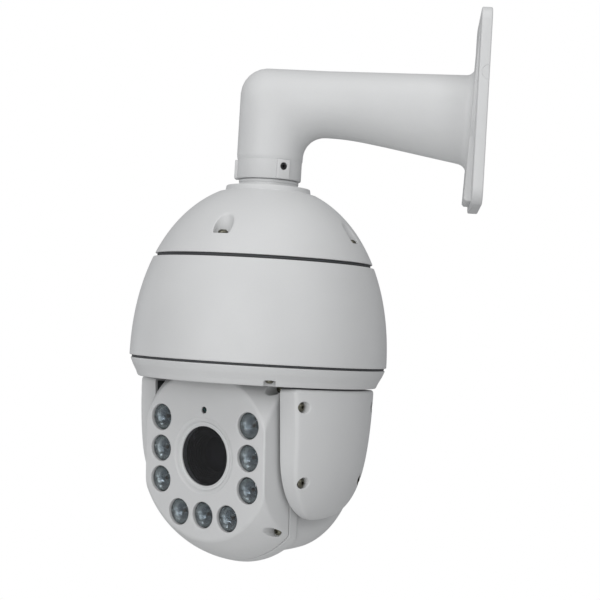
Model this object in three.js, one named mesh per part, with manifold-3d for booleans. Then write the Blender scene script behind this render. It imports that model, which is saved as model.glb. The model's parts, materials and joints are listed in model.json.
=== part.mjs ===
// Outdoor pan-tilt-zoom dome camera on a wall bracket.
// Millimetres, +Z up. Origin: centre of the wall plate's back face. The wall is the plane y = 0,
// the bracket's arm runs towards -Y and the camera hangs from its collar.
import * as THREE from "three";
import { mergeVertices } from "three/addons/utils/BufferGeometryUtils.js";
import Module from "manifold-3d";

const wasm = await Module();
wasm.setup();

// ---- driving dimensions ----
const GAP = 0.3; // clearance between touching pieces
const WALL = 3.5; // casting wall of the housing
const SKIN = 32; // sides of a large visible round
const LINER = 16; // sides of a large hidden round
const ROUND = 16; // sides of a middle-sized round
const SMALL = 10; // sides of a screw head
const FINE = 6; // sides of a screw shank or its hole

// wall bracket
const REACH = 187; // wall to the dome's axis
const PLATE = { width: 120, height: 169, thick: 9.2, corner: 14, holeX: 44, holeZ: 68, holeR: 3.6 };
const SPINE = { halfWidth: 30, top: 80, bottom: -80, rise: 6 };
const ARM = { top: 31, lift: 2.5, halfWidth: 29, endY: -6.5, wall: 4.5, sides: 20 };
const ELBOW = { pivotY: -139, pivotZ: -47, innerR: 19, outerW: 77.4, outerH: 78, cornerR: 24 };
const COLLAR = { r: 28.4, bottom: -68.5, bore: 24, padWidth: 12, padHeight: 16.7, padR: 30.4 };
const COLLAR_SCREW_AZIMUTHS = [30, 150, 270];
const CABLE_HOLE = { z: -20, r: 13 };

// dome housing, heights above the seam between body shell and chin ring
const DOME_Z = -229.5; // that seam's height in the part's frame
const DOME = { r: 113.4, height: 158, power: 2.18 };
const COVER_TOP = { padR: 37, padZ: 154.8, stepZ: 150.2, bore: 20 };
const COVER_SEAM = { top: 91, bottom: 88 };
const COVER_SCREW = { count: 4, first: -20, r: 82.2, pocketR: 8.2, floor: 107.7 };
const CHIN = { topR: 112.5, bottomR: 105, bottom: -17, bore: 96.5 };
const CHIN_SCREW = { count: 3, first: 11.3, r: 103.5, pocketWidth: 10, floor: -12 };
const DECK = { z: 42, thick: 4, r: 104, bore: 24.3 };

// pan drive
const HEADING = -33.57; // way the camera looks, degrees from +X
const PAN = { pulleyR: 36, motorR: 10, offset: 62, z0: 84, z1: 94, hubR: 15, hubTop: 98, hubBore: 8 };
const PAN_MOTOR_AZIMUTH = 115;

// yoke and its covers; n is forward, u is along the tilt axis, z is up
const YOKE = { inner: 71, outer: 74, top: 37, plate: 4, halfLength: 40 };
const COVER = { top: -18.3, topN: 55.9, kneeN: 50.5, kneeZ: -75, bottom: -131, inner: 70.5, wall: 3 };
const COVER_PROFILE = [[103.5, COVER.top], [104, -69], [98.5, -130.5], [70, COVER.bottom]];
const ARM_SCREWS = [{ n: 48, z: -33, floor: 86.6 }, { n: 39.5, z: -96, floor: 84.6 }];

// head, a ball on the tilt axis; n is along the lens, v is up the face
const TILT_Z = -76.8;
const TILT_DOWN = 3.84; // degrees below the horizon
const BALL = { r: 99, halfWidth: 69 };
const BELLY = { waist: 89, shoulder: 82.2, shoulderU: 46.1, cornerR: 19, mouthR: 83.5, mouthN: 12 };
const FACE = { n: 66.5, rear: 32.4 };
const SHELL_FLANGE = { front: 31.2, rear: 20.5 };
const WINDOW = { v: 0, glassR: 25.2, ringR: 29, holeR: 29.3 };
const CAMERA = { drop: 27.3 };
const LAMP = { r: 11.2, holeR: 11.5, front: 65.6, stripEdge: 11.8 };
const LAMP_COLUMN = { u: 48.85, v: 2.7, pitch: 27 };
const LAMP_ROW = { v: -50.5, pitch: 27.2 };
const SENSOR = { v: 39.3, r: 2.6 };
const BEZEL_SCREW = { u: 61.5, v: 60, pocketR: 4.6, floor: 39, bossR: 7.2 };
const SHAFT_R = 6;
const BEARING_R = 13;
const TILT_DRIVE = { pulleyR: 18, motorR: 6, z: -39.5, u0: 88, u1: 93, motorSize: 35 };

// ---- materials ----
const paint = new THREE.MeshStandardMaterial({ color: 0xd6d8d8, roughness: 0.5, metalness: 0 });
const steel = new THREE.MeshStandardMaterial({ color: 0x8d8a84, roughness: 0.3, metalness: 1 });
const alloy = new THREE.MeshStandardMaterial({ color: 0x5a5c60, roughness: 0.45, metalness: 1 });
const rubber = new THREE.MeshStandardMaterial({ color: 0x161719, roughness: 0.8, metalness: 0 });
const black = new THREE.MeshStandardMaterial({ color: 0x1b1c1f, roughness: 0.5, metalness: 0 });
const ring = new THREE.MeshStandardMaterial({ color: 0xdcdede, roughness: 0.4, metalness: 0 });
const lensGlass = new THREE.MeshStandardMaterial({ color: 0x20242a, roughness: 0.05, metalness: 0 });
const board = new THREE.MeshStandardMaterial({ color: 0x14502e, roughness: 0.6, metalness: 0 });

// ---- solids ----
function solid(geometry) {
  const bare = geometry.index ? geometry.toNonIndexed() : geometry.clone();
  bare.deleteAttribute("normal");
  bare.deleteAttribute("uv");
  const merged = mergeVertices(bare, 1e-4);
  const vertProperties = new Float32Array(merged.attributes.position.array);
  const triVerts = new Uint32Array(merged.index.array);
  return new wasm.Manifold(new wasm.Mesh({ numProp: 3, vertProperties, triVerts }));
}

function geometryOf(body) {
  const mesh = body.getMesh();
  const geometry = new THREE.BufferGeometry();
  geometry.setAttribute("position", new THREE.BufferAttribute(mesh.vertProperties, 3));
  geometry.setIndex(new THREE.BufferAttribute(mesh.triVerts, 1));
  const flat = geometry.toNonIndexed();
  flat.computeVertexNormals();
  return flat;
}

function piece(group, name, material, body) {
  const mesh = new THREE.Mesh(geometryOf(body), material);
  mesh.name = name;
  group.add(mesh);
  return mesh;
}

const rad = THREE.MathUtils.degToRad;
const deg = THREE.MathUtils.radToDeg;
const join = (...bodies) => bodies.reduce((whole, next) => whole.add(next));

function box(x0, x1, y0, y1, z0, z1) {
  const g = new THREE.BoxGeometry(x1 - x0, y1 - y0, z1 - z0);
  return solid(g.translate((x0 + x1) / 2, (y0 + y1) / 2, (z0 + z1) / 2));
}

// Upright cylinder at (x, y) from z0 to z1.
function post(r, z0, z1, x = 0, y = 0, sides = ROUND) {
  const g = new THREE.CylinderGeometry(r, r, z1 - z0, sides).rotateX(Math.PI / 2);
  return solid(g.translate(x, y, (z0 + z1) / 2));
}

// Cylinder along x from x0 to x1 at (y, z).
function bar(r, x0, x1, y = 0, z = 0, sides = ROUND) {
  const g = new THREE.CylinderGeometry(r, r, x1 - x0, sides).rotateZ(Math.PI / 2);
  return solid(g.translate((x0 + x1) / 2, y, z));
}

// Cylinder along y from y0 to y1 at (x, z).
function crossBar(r, y0, y1, x = 0, z = 0, sides = ROUND) {
  const g = new THREE.CylinderGeometry(r, r, y1 - y0, sides);
  return solid(g.translate(x, (y0 + y1) / 2, z));
}

// Solid of revolution about z from [radius, z] points, listed from the bottom to the top.
function turned(points, sides) {
  const profile = points.map(([r, z]) => new THREE.Vector2(r, z));
  return solid(new THREE.LatheGeometry(profile, sides).rotateX(Math.PI / 2));
}

// Solid of revolution about x from [radius, x] points.
function turnedAlongX(points, sides) {
  const profile = points.map(([r, x]) => new THREE.Vector2(r, x));
  return solid(new THREE.LatheGeometry(profile, sides).rotateZ(-Math.PI / 2));
}

// Solid of revolution about y from [radius, y] points.
function turnedAlongY(points, sides) {
  const profile = points.map(([r, y]) => new THREE.Vector2(r, y));
  return solid(new THREE.LatheGeometry(profile, sides));
}

// Points [radius, height] on a half circle about the origin between two angles above the equator.
function arcPoints(r, from, to, steps) {
  const points = [];
  for (let i = 0; i <= steps; i++) {
    const a = rad(from + ((to - from) * i) / steps);
    points.push([Math.max(0, r * Math.cos(a)), r * Math.sin(a)]);
  }
  return points;
}

function turnAbout(body, azimuth) {
  return body.rotate([0, 0, azimuth]);
}

// Closed skin over rings of points, each ring with the same number of points.
function loft(rings) {
  const count = rings[0].length;
  const positions = rings.flat(2);
  const index = [];
  for (let k = 0; k < rings.length - 1; k++) {
    for (let i = 0; i < count; i++) {
      const a = k * count + i;
      const b = k * count + ((i + 1) % count);
      index.push(a, b, a + count, b, b + count, a + count);
    }
  }
  const last = (rings.length - 1) * count;
  for (let i = 1; i < count - 1; i++) {
    index.push(0, i + 1, i, last, last + i, last + i + 1);
  }
  const g = new THREE.BufferGeometry();
  g.setAttribute("position", new THREE.Float32BufferAttribute(positions, 3));
  g.setIndex(index);
  return solid(g);
}

// ---- wall bracket ----
// Distance from the elbow's pivot to its outer skin along a ray at the given angle above -Y.
function elbowReach(angle, inset) {
  const w = ELBOW.outerW - inset;
  const h = ELBOW.outerH - inset;
  const r = ELBOW.cornerR - inset;
  const c = Math.cos(angle);
  const s = Math.sin(angle);
  if (s * w <= (h - r) * c) return w / c;
  if (c * h <= (w - r) * s) return h / s;
  const along = (w - r) * c + (h - r) * s;
  const off = (w - r) ** 2 + (h - r) ** 2;
  return along + Math.sqrt(along ** 2 - off + r ** 2);
}

const armUnderside = new THREE.CubicBezierCurve(
  new THREE.Vector2(ELBOW.pivotY, -28),
  new THREE.Vector2(-112, -28),
  new THREE.Vector2(-100, -31.5),
  new THREE.Vector2(-9, -47.3),
);

// One ring of the arm or elbow: centre, the outer direction, half heights and half width.
function ringOf(centre, outer, up, down, half, pinch) {
  const points = [];
  for (let i = 0; i < ARM.sides; i++) {
    const a = (2 * Math.PI * i) / ARM.sides;
    const c = Math.cos(a);
    const s = Math.sin(a);
    const high = c >= 0 ? up * c : down * c;
    const wide = c >= 0 ? half * s : half * Math.sign(s) * Math.abs(s) ** pinch;
    points.push([wide, centre[0] + outer[0] * high, centre[1] + outer[1] * high]);
  }
  return points;
}

function bracketSkin(inset, collarR, bottom, endY) {
  const rings = [];
  const half = ARM.halfWidth - inset;
  const collarTop = ELBOW.pivotZ + 4;
  rings.push(ringOf([-REACH, bottom], [-1, 0], collarR, collarR, collarR, 1));
  rings.push(ringOf([-REACH, collarTop - 8], [-1, 0], collarR, collarR, collarR, 1));
  const turns = 6;
  for (let i = 1; i <= turns; i++) {
    const angle = (Math.PI / 2) * (i / turns);
    const far = elbowReach(angle, inset);
    const near = ELBOW.innerR + inset;
    const dir = [-Math.cos(angle), Math.sin(angle)];
    const mid = (far + near) / 2;
    const centre = [ELBOW.pivotY + dir[0] * mid, ELBOW.pivotZ + dir[1] * mid];
    rings.push(ringOf(centre, dir, (far - near) / 2, (far - near) / 2, half, 1));
  }
  const steps = 6;
  for (let i = 1; i <= steps; i++) {
    const under = armUnderside.getPoint(i / steps);
    const y = i === steps ? endY : under.x;
    const share = (y - ELBOW.pivotY) / -ELBOW.pivotY;
    const mid = ARM.top + ARM.lift * share - ARM.halfWidth;
    const down = mid - under.y - inset;
    rings.push(ringOf([y, mid], [0, 1], half, down, half, 1 + 0.3 * share));
  }
  return loft(rings);
}

function roundedRect(width, height, corner) {
  const w = width / 2;
  const h = height / 2;
  const shape = new THREE.Shape();
  shape.moveTo(-w + corner, -h);
  shape.lineTo(w - corner, -h);
  shape.absarc(w - corner, -h + corner, corner, -Math.PI / 2, 0);
  shape.lineTo(w, h - corner);
  shape.absarc(w - corner, h - corner, corner, 0, Math.PI / 2);
  shape.lineTo(-w + corner, h);
  shape.absarc(-w + corner, h - corner, corner, Math.PI / 2, Math.PI);
  shape.lineTo(-w, -h + corner);
  shape.absarc(-w + corner, -h + corner, corner, Math.PI, 1.5 * Math.PI);
  return shape;
}

// A plate standing in the x-z plane, from y0 to y1.
function standingPlate(shape, y0, y1) {
  const g = new THREE.ExtrudeGeometry(shape, { depth: y1 - y0, bevelEnabled: false, curveSegments: 4 });
  return solid(g.rotateX(Math.PI / 2).translate(0, y1, 0));
}

// Tapered spine under and over the arm's root, thicker towards the bottom of the plate.
function plateSpine() {
  const side = new THREE.Shape();
  side.moveTo(-PLATE.thick + 1, SPINE.top);
  side.lineTo(-PLATE.thick, SPINE.top);
  side.lineTo(-PLATE.thick - SPINE.rise, SPINE.bottom + 2);
  side.lineTo(-PLATE.thick - SPINE.rise + 1.5, SPINE.bottom);
  side.lineTo(-PLATE.thick + 1, SPINE.bottom);
  const width = 2 * SPINE.halfWidth;
  const g = new THREE.ExtrudeGeometry(side, { depth: width, bevelEnabled: false });
  g.rotateY(Math.PI / 2).rotateX(Math.PI / 2);
  return solid(g.translate(-SPINE.halfWidth, 0, 0));
}

function collarPad(azimuth) {
  const top = COLLAR.bottom + COLLAR.padHeight;
  const pad = box(COLLAR.bore + 2, COLLAR.padR, -COLLAR.padWidth / 2, COLLAR.padWidth / 2, COLLAR.bottom, top);
  return turnAbout(pad, azimuth).translate([0, -REACH, 0]);
}

function collarHole(azimuth) {
  const z = COLLAR.bottom + 11;
  const hole = bar(3.3, COLLAR.bore - 2, COLLAR.padR + 2, 0, z, SMALL);
  return turnAbout(hole, azimuth).translate([0, -REACH, 0]);
}

function wallBracket() {
  const plate = standingPlate(roundedRect(PLATE.width, PLATE.height, PLATE.corner), -PLATE.thick, 0);
  let body = join(bracketSkin(0, COLLAR.r, COLLAR.bottom, -PLATE.thick + 1), plate, plateSpine());
  for (const azimuth of COLLAR_SCREW_AZIMUTHS) body = body.add(collarPad(azimuth));
  body = body.subtract(bracketSkin(ARM.wall, COLLAR.bore, COLLAR.bottom - 1, ARM.endY));
  body = body.subtract(crossBar(CABLE_HOLE.r, -12, 1, 0, CABLE_HOLE.z));
  for (const azimuth of COLLAR_SCREW_AZIMUTHS) body = body.subtract(collarHole(azimuth));
  for (const x of [-PLATE.holeX, PLATE.holeX]) {
    for (const z of [-PLATE.holeZ, PLATE.holeZ]) {
      body = body.subtract(crossBar(PLATE.holeR, -PLATE.thick - 1, 1, x, z, SMALL));
    }
  }
  return body;
}

function setScrew(azimuth) {
  const z = COLLAR.bottom + 11;
  const screw = bar(3, COLLAR.bore, COLLAR.padR - 1.2, 0, z, SMALL);
  const socket = bar(1.5, COLLAR.padR - 4, COLLAR.padR, 0, z, 6);
  return turnAbout(screw.subtract(socket), azimuth).translate([0, -REACH, 0]);
}

// ---- housing ----
function domeRadius(z, inset = 0) {
  const share = z / (DOME.height - inset * 1.1);
  return (DOME.r - inset) * (1 - share ** DOME.power) ** (1 / DOME.power);
}

// Points [radius, z] on the dome's skin between two heights, closer together near the crown.
function domePoints(from, to, inset, steps) {
  const points = [];
  for (let i = 0; i <= steps; i++) {
    const z = from + (to - from) * Math.sin((Math.PI / 2) * (i / steps));
    points.push([domeRadius(z, inset), z]);
  }
  return points;
}

const coverScrewAzimuths = Array.from({ length: COVER_SCREW.count }, (_, i) => COVER_SCREW.first + i * 90);
const chinScrewAzimuths = Array.from({ length: CHIN_SCREW.count }, (_, i) => CHIN_SCREW.first + i * 120);

function topCover() {
  const z0 = COVER_SEAM.top;
  const skin = domePoints(z0, COVER_TOP.stepZ, 0, 6);
  const pad = [[COVER_TOP.padR + 0.8, COVER_TOP.stepZ], [COVER_TOP.padR, COVER_TOP.padZ], [0, COVER_TOP.padZ]];
  const outer = turned([[0, z0], ...skin, ...pad], SKIN);
  const hollow = turned([[0, z0 - 1], [88, z0 - 1], ...domePoints(z0 + WALL, 150, WALL, 4), [0, 150]], LINER);
  let body = outer.subtract(hollow).subtract(post(COVER_TOP.bore, 140, 160));
  for (const azimuth of coverScrewAzimuths) {
    const boss = post(COVER_SCREW.pocketR + 2.5, z0, 130, COVER_SCREW.r, 0, SMALL);
    body = body.add(turnAbout(boss, azimuth).intersect(outer));
  }
  for (const azimuth of coverScrewAzimuths) {
    const pocket = post(COVER_SCREW.pocketR, COVER_SCREW.floor, 160, COVER_SCREW.r, 0, 16);
    const hole = post(2.8, z0 - 1, 120, COVER_SCREW.r, 0, FINE);
    body = body.subtract(turnAbout(pocket.add(hole), azimuth));
  }
  return body;
}

function coverGasket() {
  const z0 = COVER_SEAM.bottom + GAP;
  const z1 = COVER_SEAM.top - GAP;
  let body = post(94.3, z0, z1, 0, 0, SKIN).subtract(post(77, z0 - 1, z1 + 1, 0, 0, LINER));
  for (const azimuth of coverScrewAzimuths) {
    body = body.subtract(turnAbout(post(2.8, z0 - 1, z1 + 1, COVER_SCREW.r, 0, FINE), azimuth));
  }
  return body;
}

// Pan-head screw standing on z = seat with its shank down to z = tip.
function coverScrew(azimuth) {
  const seat = COVER_SCREW.floor + GAP;
  const r = COVER_SCREW.r;
  const head = post(4.4, seat, seat + 3, r, 0, SMALL);
  const shank = post(2.4, COVER_SEAM.bottom - 9, seat + 0.5, r, 0, FINE);
  return turnAbout(head.add(shank).subtract(post(1.5, seat + 1.2, seat + 4, r, 0, 6)), azimuth);
}

function bodyShell() {
  const top = COVER_SEAM.bottom;
  const outer = turned([[0, 1], ...domePoints(1, top, 0, 5), [0, top]], SKIN);
  const mouth = post(CHIN.bore + 0.5, 0, 6, 0, 0, LINER);
  const hollow = turned([[0, 4.5], ...domePoints(4.5, top - WALL, WALL, 3), [0, top - WALL]], LINER);
  let body = outer.subtract(hollow).subtract(mouth).subtract(post(76, 80, top + 1, 0, 0, LINER));
  const ledge = post(108, DECK.z - 3.7, DECK.z - GAP, 0, 0, LINER).subtract(post(98, 30, 50, 0, 0, LINER));
  body = body.add(ledge.intersect(outer));
  for (const azimuth of coverScrewAzimuths) {
    body = body.add(turnAbout(post(6, top - 13, top - 1, COVER_SCREW.r, 0, FINE), azimuth));
    body = body.subtract(turnAbout(post(2.8, top - 11, top + 1, COVER_SCREW.r, 0, FINE), azimuth));
  }
  for (const azimuth of chinScrewAzimuths) {
    body = body.add(turnAbout(post(5.5, 2, 14, CHIN_SCREW.r, 0, FINE), azimuth));
    body = body.subtract(turnAbout(post(2.4, 0, 11, CHIN_SCREW.r, 0, FINE), azimuth));
  }
  return body;
}

function chinGasket() {
  let body = post(111.4, -0.7, 0.7, 0, 0, SKIN).subtract(post(98, -2, 2, 0, 0, LINER));
  for (const azimuth of chinScrewAzimuths) {
    body = body.subtract(turnAbout(post(2.6, -2, 2, CHIN_SCREW.r, 0, FINE), azimuth));
  }
  return body;
}

function chinRing() {
  const skin = [[CHIN.bottomR, CHIN.bottom], [107, -12.3], [109.9, -7.1], [CHIN.topR, -1]];
  let body = turned([[0, CHIN.bottom], ...skin, [0, -1]], SKIN);
  body = body.subtract(post(CHIN.bore, -20, 2, 0, 0, SKIN));
  const half = CHIN_SCREW.pocketWidth / 2;
  for (const azimuth of chinScrewAzimuths) {
    const pocket = box(99, 112, -half, half, CHIN.bottom - 1, CHIN_SCREW.floor);
    body = body.subtract(turnAbout(pocket.add(post(2.4, -14, 1, CHIN_SCREW.r, 0, FINE)), azimuth));
  }
  return body;
}

function chinScrew(azimuth) {
  const seat = CHIN_SCREW.floor - GAP;
  const head = post(3.5, seat - 2.4, seat, CHIN_SCREW.r, 0, SMALL);
  const shank = post(2, seat - 0.5, 10, CHIN_SCREW.r, 0, FINE);
  return turnAbout(head.add(shank).subtract(post(1.3, seat - 3, seat - 1.2, CHIN_SCREW.r, 0, 6)), azimuth);
}

function neckAdapter() {
  const bottom = COVER_TOP.padZ + GAP;
  const base = post(26.4, bottom, 160.5, 0, 0, 32);
  const spigot = post(COLLAR.bore - 0.6, 160, 200);
  const thread = post(COVER_TOP.bore - 0.5, 142, bottom + 1);
  return join(base, spigot, thread).subtract(post(16, 140, 202));
}

// ---- pan drive ----
function panDeck() {
  let body = post(DECK.r, DECK.z, DECK.z + DECK.thick, 0, 0, LINER);
  body = body.subtract(post(DECK.bore, DECK.z - 1, DECK.z + DECK.thick + 1));
  for (let i = 0; i < 3; i++) {
    body = body.add(turnAbout(post(3, DECK.z + 1, 107.7, 58, 0, FINE), 30 + i * 120));
  }
  return body;
}

function bearing(rIn, rOut, z0, z1) {
  return post(rOut, z0, z1).subtract(post(rIn, z0 - 1, z1 + 1));
}

function panHub() {
  const flange = post(24, YOKE.top + GAP, YOKE.top + 3.5);
  const shaft = post(PAN.hubR, YOKE.top + GAP, PAN.hubTop);
  const pulley = post(PAN.pulleyR, PAN.z0, PAN.z1, 0, 0, LINER);
  return join(flange, shaft, pulley).subtract(post(PAN.hubBore, 30, 100, 0, 0, SMALL));
}

// A belt's outline round two pulleys on the x axis: the big one at 0, the small one at `offset`.
function beltSolid(bigR, smallR, offset, thick, depth) {
  const outer = beltShape(bigR + thick, smallR + thick, offset);
  outer.holes.push(beltShape(bigR, smallR, offset));
  const g = new THREE.ExtrudeGeometry(outer, { depth, bevelEnabled: false, curveSegments: SMALL });
  return solid(g);
}

function beltShape(bigR, smallR, offset) {
  const lean = Math.acos((bigR - smallR) / offset);
  const shape = new THREE.Shape();
  shape.absarc(0, 0, bigR, lean, 2 * Math.PI - lean);
  shape.absarc(offset, 0, smallR, -lean, lean);
  shape.closePath();
  return shape;
}

function panMotor() {
  const half = 21;
  const z0 = DECK.z + DECK.thick + GAP;
  const body = box(PAN.offset - half, PAN.offset + half, -half, half, z0, 80);
  return body.add(post(11, 79, 82, PAN.offset, 0, SMALL));
}

function slipRing() {
  return post(11, PAN.hubTop + GAP, 126, 0, 0, SMALL).add(post(4, 125, 134, 0, 0, FINE));
}

function mainBoard() {
  return post(66, 108, 109.6).subtract(post(12.5, 100, 112, 0, 0, SMALL));
}

// ---- yoke ----
// Side outline of an arm cover in the n-z plane, drawn `inset` inside the cover's edge.
function coverOutline(inset) {
  const shape = new THREE.Shape();
  const top = COVER.top - inset;
  const knee = COVER.kneeN - inset;
  const bottom = COVER.bottom + inset;
  shape.moveTo(-COVER.topN + inset, top);
  shape.lineTo(-knee, COVER.kneeZ);
  shape.bezierCurveTo(-knee + 3.5, -112 + inset, -25, bottom + 0.5, 0, bottom);
  shape.bezierCurveTo(25, bottom + 0.5, knee - 3.5, -112 + inset, knee, COVER.kneeZ);
  shape.lineTo(COVER.topN - inset, top);
  shape.closePath();
  return shape;
}

// The outline stood up in the n-z plane and run along u from u0 to u1.
function alongU(shape, u0, u1, segments = 5) {
  const g = new THREE.ExtrudeGeometry(shape, { depth: u1 - u0, bevelEnabled: false, curveSegments: segments });
  return solid(g.rotateX(Math.PI / 2).translate(0, u1, 0));
}

function coverBarrel(inset) {
  const [a, b, c, d] = COVER_PROFILE.map(([r, z]) => new THREE.Vector2(r - inset, z));
  const points = new THREE.CubicBezierCurve(a, b, c, d).getPoints(6).map((p) => [p.x, p.y]);
  return turned([[0, COVER.bottom], ...points.reverse(), [0, COVER.top]], 40);
}

function yokePlate() {
  const outline = coverOutline(COVER.wall + 0.4);
  const side = alongU(outline, YOKE.inner, YOKE.outer);
  const upper = box(-YOKE.halfLength, YOKE.halfLength, YOKE.inner, YOKE.outer, -30, YOKE.top);
  const hole = crossBar(BEARING_R + 0.5, YOKE.inner - 1, YOKE.outer + 1, 0, TILT_Z);
  let body = side.add(upper).subtract(hole);
  for (const { n, z } of ARM_SCREWS) {
    for (const way of [-1, 1]) {
      body = body.subtract(crossBar(2.4, YOKE.inner - 1, YOKE.outer + 1, way * n, z, FINE));
    }
  }
  return body;
}

function yokeFrame() {
  const plate = yokePlate();
  const { halfLength, outer, top } = YOKE;
  const bridge = box(-halfLength, halfLength, -outer, outer, top - YOKE.plate, top);
  const bore = post(PAN.hubBore, 20, 50, 0, 0, SMALL);
  return join(bridge, plate, plate.rotate([0, 0, 180])).subtract(bore);
}

function armCover() {
  const outer = coverBarrel(0).intersect(alongU(coverOutline(0), COVER.inner, 110, 7));
  const inner = coverBarrel(COVER.wall).intersect(alongU(coverOutline(COVER.wall), 60, 110));
  let body = outer.subtract(inner);
  const slot = box(-YOKE.halfLength - 1, YOKE.halfLength + 1, 60, YOKE.outer + 0.5, -30, COVER.top + 1);
  body = body.subtract(slot);
  for (const { n, z, floor } of ARM_SCREWS) {
    for (const way of [-1, 1]) {
      body = body.add(crossBar(6.4, YOKE.outer + GAP, 110, way * n, z, SMALL).intersect(outer));
      body = body.subtract(crossBar(4.8, floor, 110, way * n, z, SMALL));
      body = body.subtract(crossBar(2.4, 60, floor + 1, way * n, z, FINE));
    }
  }
  return body;
}

function armScrew({ n, z, floor }, way) {
  const seat = floor + GAP;
  const head = crossBar(4.3, seat, seat + 2.6, way * n, z, SMALL);
  const shank = crossBar(2, YOKE.inner + 0.5, seat + 0.5, way * n, z, FINE);
  return head.add(shank).subtract(crossBar(1.4, seat + 1, seat + 3, way * n, z, 6));
}

function tiltBearing() {
  const rim = crossBar(BEARING_R, 70.8, 77, 0, TILT_Z);
  return rim.subtract(crossBar(SHAFT_R + GAP, 70, 78, 0, TILT_Z));
}

function tiltMotor() {
  const half = TILT_DRIVE.motorSize / 2;
  const { z } = TILT_DRIVE;
  const body = box(-half, half, YOKE.outer + GAP, 86, z - half, z + half);
  return body.add(crossBar(8, 85, 87, 0, z, SMALL));
}

// ---- head ----
const bezelScrews = [[1, -1], [-1, -1], [1, 1], [-1, 1]].map(([a, b]) => [a * BEZEL_SCREW.u, b * BEZEL_SCREW.v]);

// Slab of the ball between n0 and n1, with its skin `inset` inside the ball's.
function ballSlab(inset, n0, n1, steps) {
  const r = BALL.r - inset;
  const from = deg(Math.asin(n0 / r));
  const to = deg(Math.asin(n1 / r));
  return turnedAlongX([[0, n0], ...arcPoints(r, from, to, steps), [0, n1]], SKIN);
}

function slice(n0, n1, halfU) {
  return box(n0, n1, -halfU, halfU, -110, 110);
}

function lampPlaces() {
  const column = [1, 0, -1].map((k) => LAMP_COLUMN.v + k * LAMP_COLUMN.pitch);
  const row = [-1, 0, 1].map((k) => k * LAMP_ROW.pitch);
  return {
    left: column.map((v) => [-LAMP_COLUMN.u, v]),
    right: column.map((v) => [LAMP_COLUMN.u, v]),
    bottom: row.map((u) => [u, LAMP_ROW.v]),
  };
}

const lamps = lampPlaces();

function frontBezel() {
  const outer = ballSlab(0, FACE.rear, FACE.n, 6).intersect(slice(0, 80, BALL.halfWidth));
  const inner = ballSlab(WALL, FACE.rear - 1, FACE.n - WALL, 6).intersect(slice(0, 80, BALL.halfWidth - WALL));
  let body = outer.subtract(inner);
  const { pocketR, floor, bossR } = BEZEL_SCREW;
  for (const [u, v] of bezelScrews) body = body.add(bar(bossR, FACE.rear, 70, u, v, SMALL).intersect(outer));
  for (const [u, v] of bezelScrews) {
    body = body.subtract(bar(pocketR, floor, 70, u, v, SMALL)).subtract(bar(2.3, 20, floor + 1, u, v, FINE));
  }
  body = body.subtract(bar(WINDOW.holeR, 50, 80, 0, WINDOW.v, LINER));
  body = body.subtract(bar(SENSOR.r + GAP, 50, 80, 0, SENSOR.v, SMALL));
  for (const [u, v] of Object.values(lamps).flat()) {
    body = body.subtract(bar(LAMP.holeR, 50, 80, u, v, ROUND));
  }
  return body;
}

function bezelScrew([u, v]) {
  const seat = BEZEL_SCREW.floor + GAP;
  const head = bar(3.7, seat, seat + 2.6, u, v, SMALL);
  const shank = bar(1.9, 22, seat + 0.5, u, v, FINE);
  return head.add(shank).subtract(bar(1.3, seat + 1, seat + 4, u, v, 6));
}

function headGasket() {
  const n0 = SHELL_FLANGE.front + GAP;
  const n1 = FACE.rear - GAP;
  const outer = bar(92.4, n0, n1, 0, 0, SKIN).intersect(slice(0, 60, 67));
  const inner = bar(BELLY.mouthR, 0, 60, 0, 0, LINER).intersect(slice(0, 60, 62));
  let body = outer.subtract(inner);
  for (const [u, v] of bezelScrews) body = body.subtract(bar(4, 0, 60, u, v, FINE));
  return body;
}

// Barrel of revolution about the tilt axis with rounded shoulders, `inset` inside the belly's skin.
function bellyBarrel(inset, steps, sides) {
  const { waist, shoulder, shoulderU, cornerR } = BELLY;
  const corner = arcPoints(cornerR - inset, 0, 90, steps);
  const end = corner.map(([u, r]) => [shoulder - cornerR + r, shoulderU + u]);
  const half = [[0, end[0][1]], ...end, [waist - (waist - shoulder) / 4 - inset, shoulderU / 2]];
  const other = half.map(([r, u]) => [r, -u]);
  return turnedAlongY([...other, [waist - inset, 0], ...half.reverse()], sides);
}

function backShell() {
  const { front, rear } = SHELL_FLANGE;
  const belly = bellyBarrel(0, 4, SKIN).intersect(slice(-110, front, BALL.halfWidth));
  const flange = ballSlab(0, rear, front, 2).intersect(slice(0, 60, BALL.halfWidth));
  const outer = belly.add(flange);
  const halfMouth = BELLY.shoulderU + BELLY.cornerR - WALL;
  const mouth = bar(BELLY.mouthR, BELLY.mouthN, 40, 0, 0, LINER).intersect(slice(0, 60, halfMouth));
  const hollow = bellyBarrel(WALL, 2, LINER).add(mouth);
  const shelfTop = WINDOW.v - CAMERA.drop - GAP;
  const shelf = join(box(-25, 26, -22, 22, shelfTop - 8, shelfTop), box(-8, 18, -14, 14, -96, shelfTop - 2));
  let body = outer.subtract(hollow).add(shelf.intersect(outer));
  for (const [u, v] of bezelScrews) body = body.add(bar(6, 18, front, u, v, FINE).intersect(outer));
  for (const [u, v] of bezelScrews) body = body.subtract(bar(2.2, 20.5, 35, u, v, FINE));
  const boss = crossBar(12, 57, BELLY.shoulderU + BELLY.cornerR, 0, 0, SMALL);
  const trunnion = crossBar(SHAFT_R, -79, -60);
  return join(body, boss, trunnion).subtract(crossBar(SHAFT_R + GAP, 50, 70));
}

function windowRing() {
  const outer = bar(WINDOW.ringR, 58, 66.3, 0, WINDOW.v, LINER);
  return outer.subtract(bar(WINDOW.glassR + GAP, 50, 70, 0, WINDOW.v, LINER));
}

function windowGlass() {
  return bar(WINDOW.glassR, 62.2, 64.4, 0, WINDOW.v, LINER);
}

function cameraBlock() {
  const body = box(-30, 44, -25, 25, WINDOW.v - CAMERA.drop, WINDOW.v + 25);
  return body.subtract(bar(19, -24, 50, 0, WINDOW.v));
}

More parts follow.
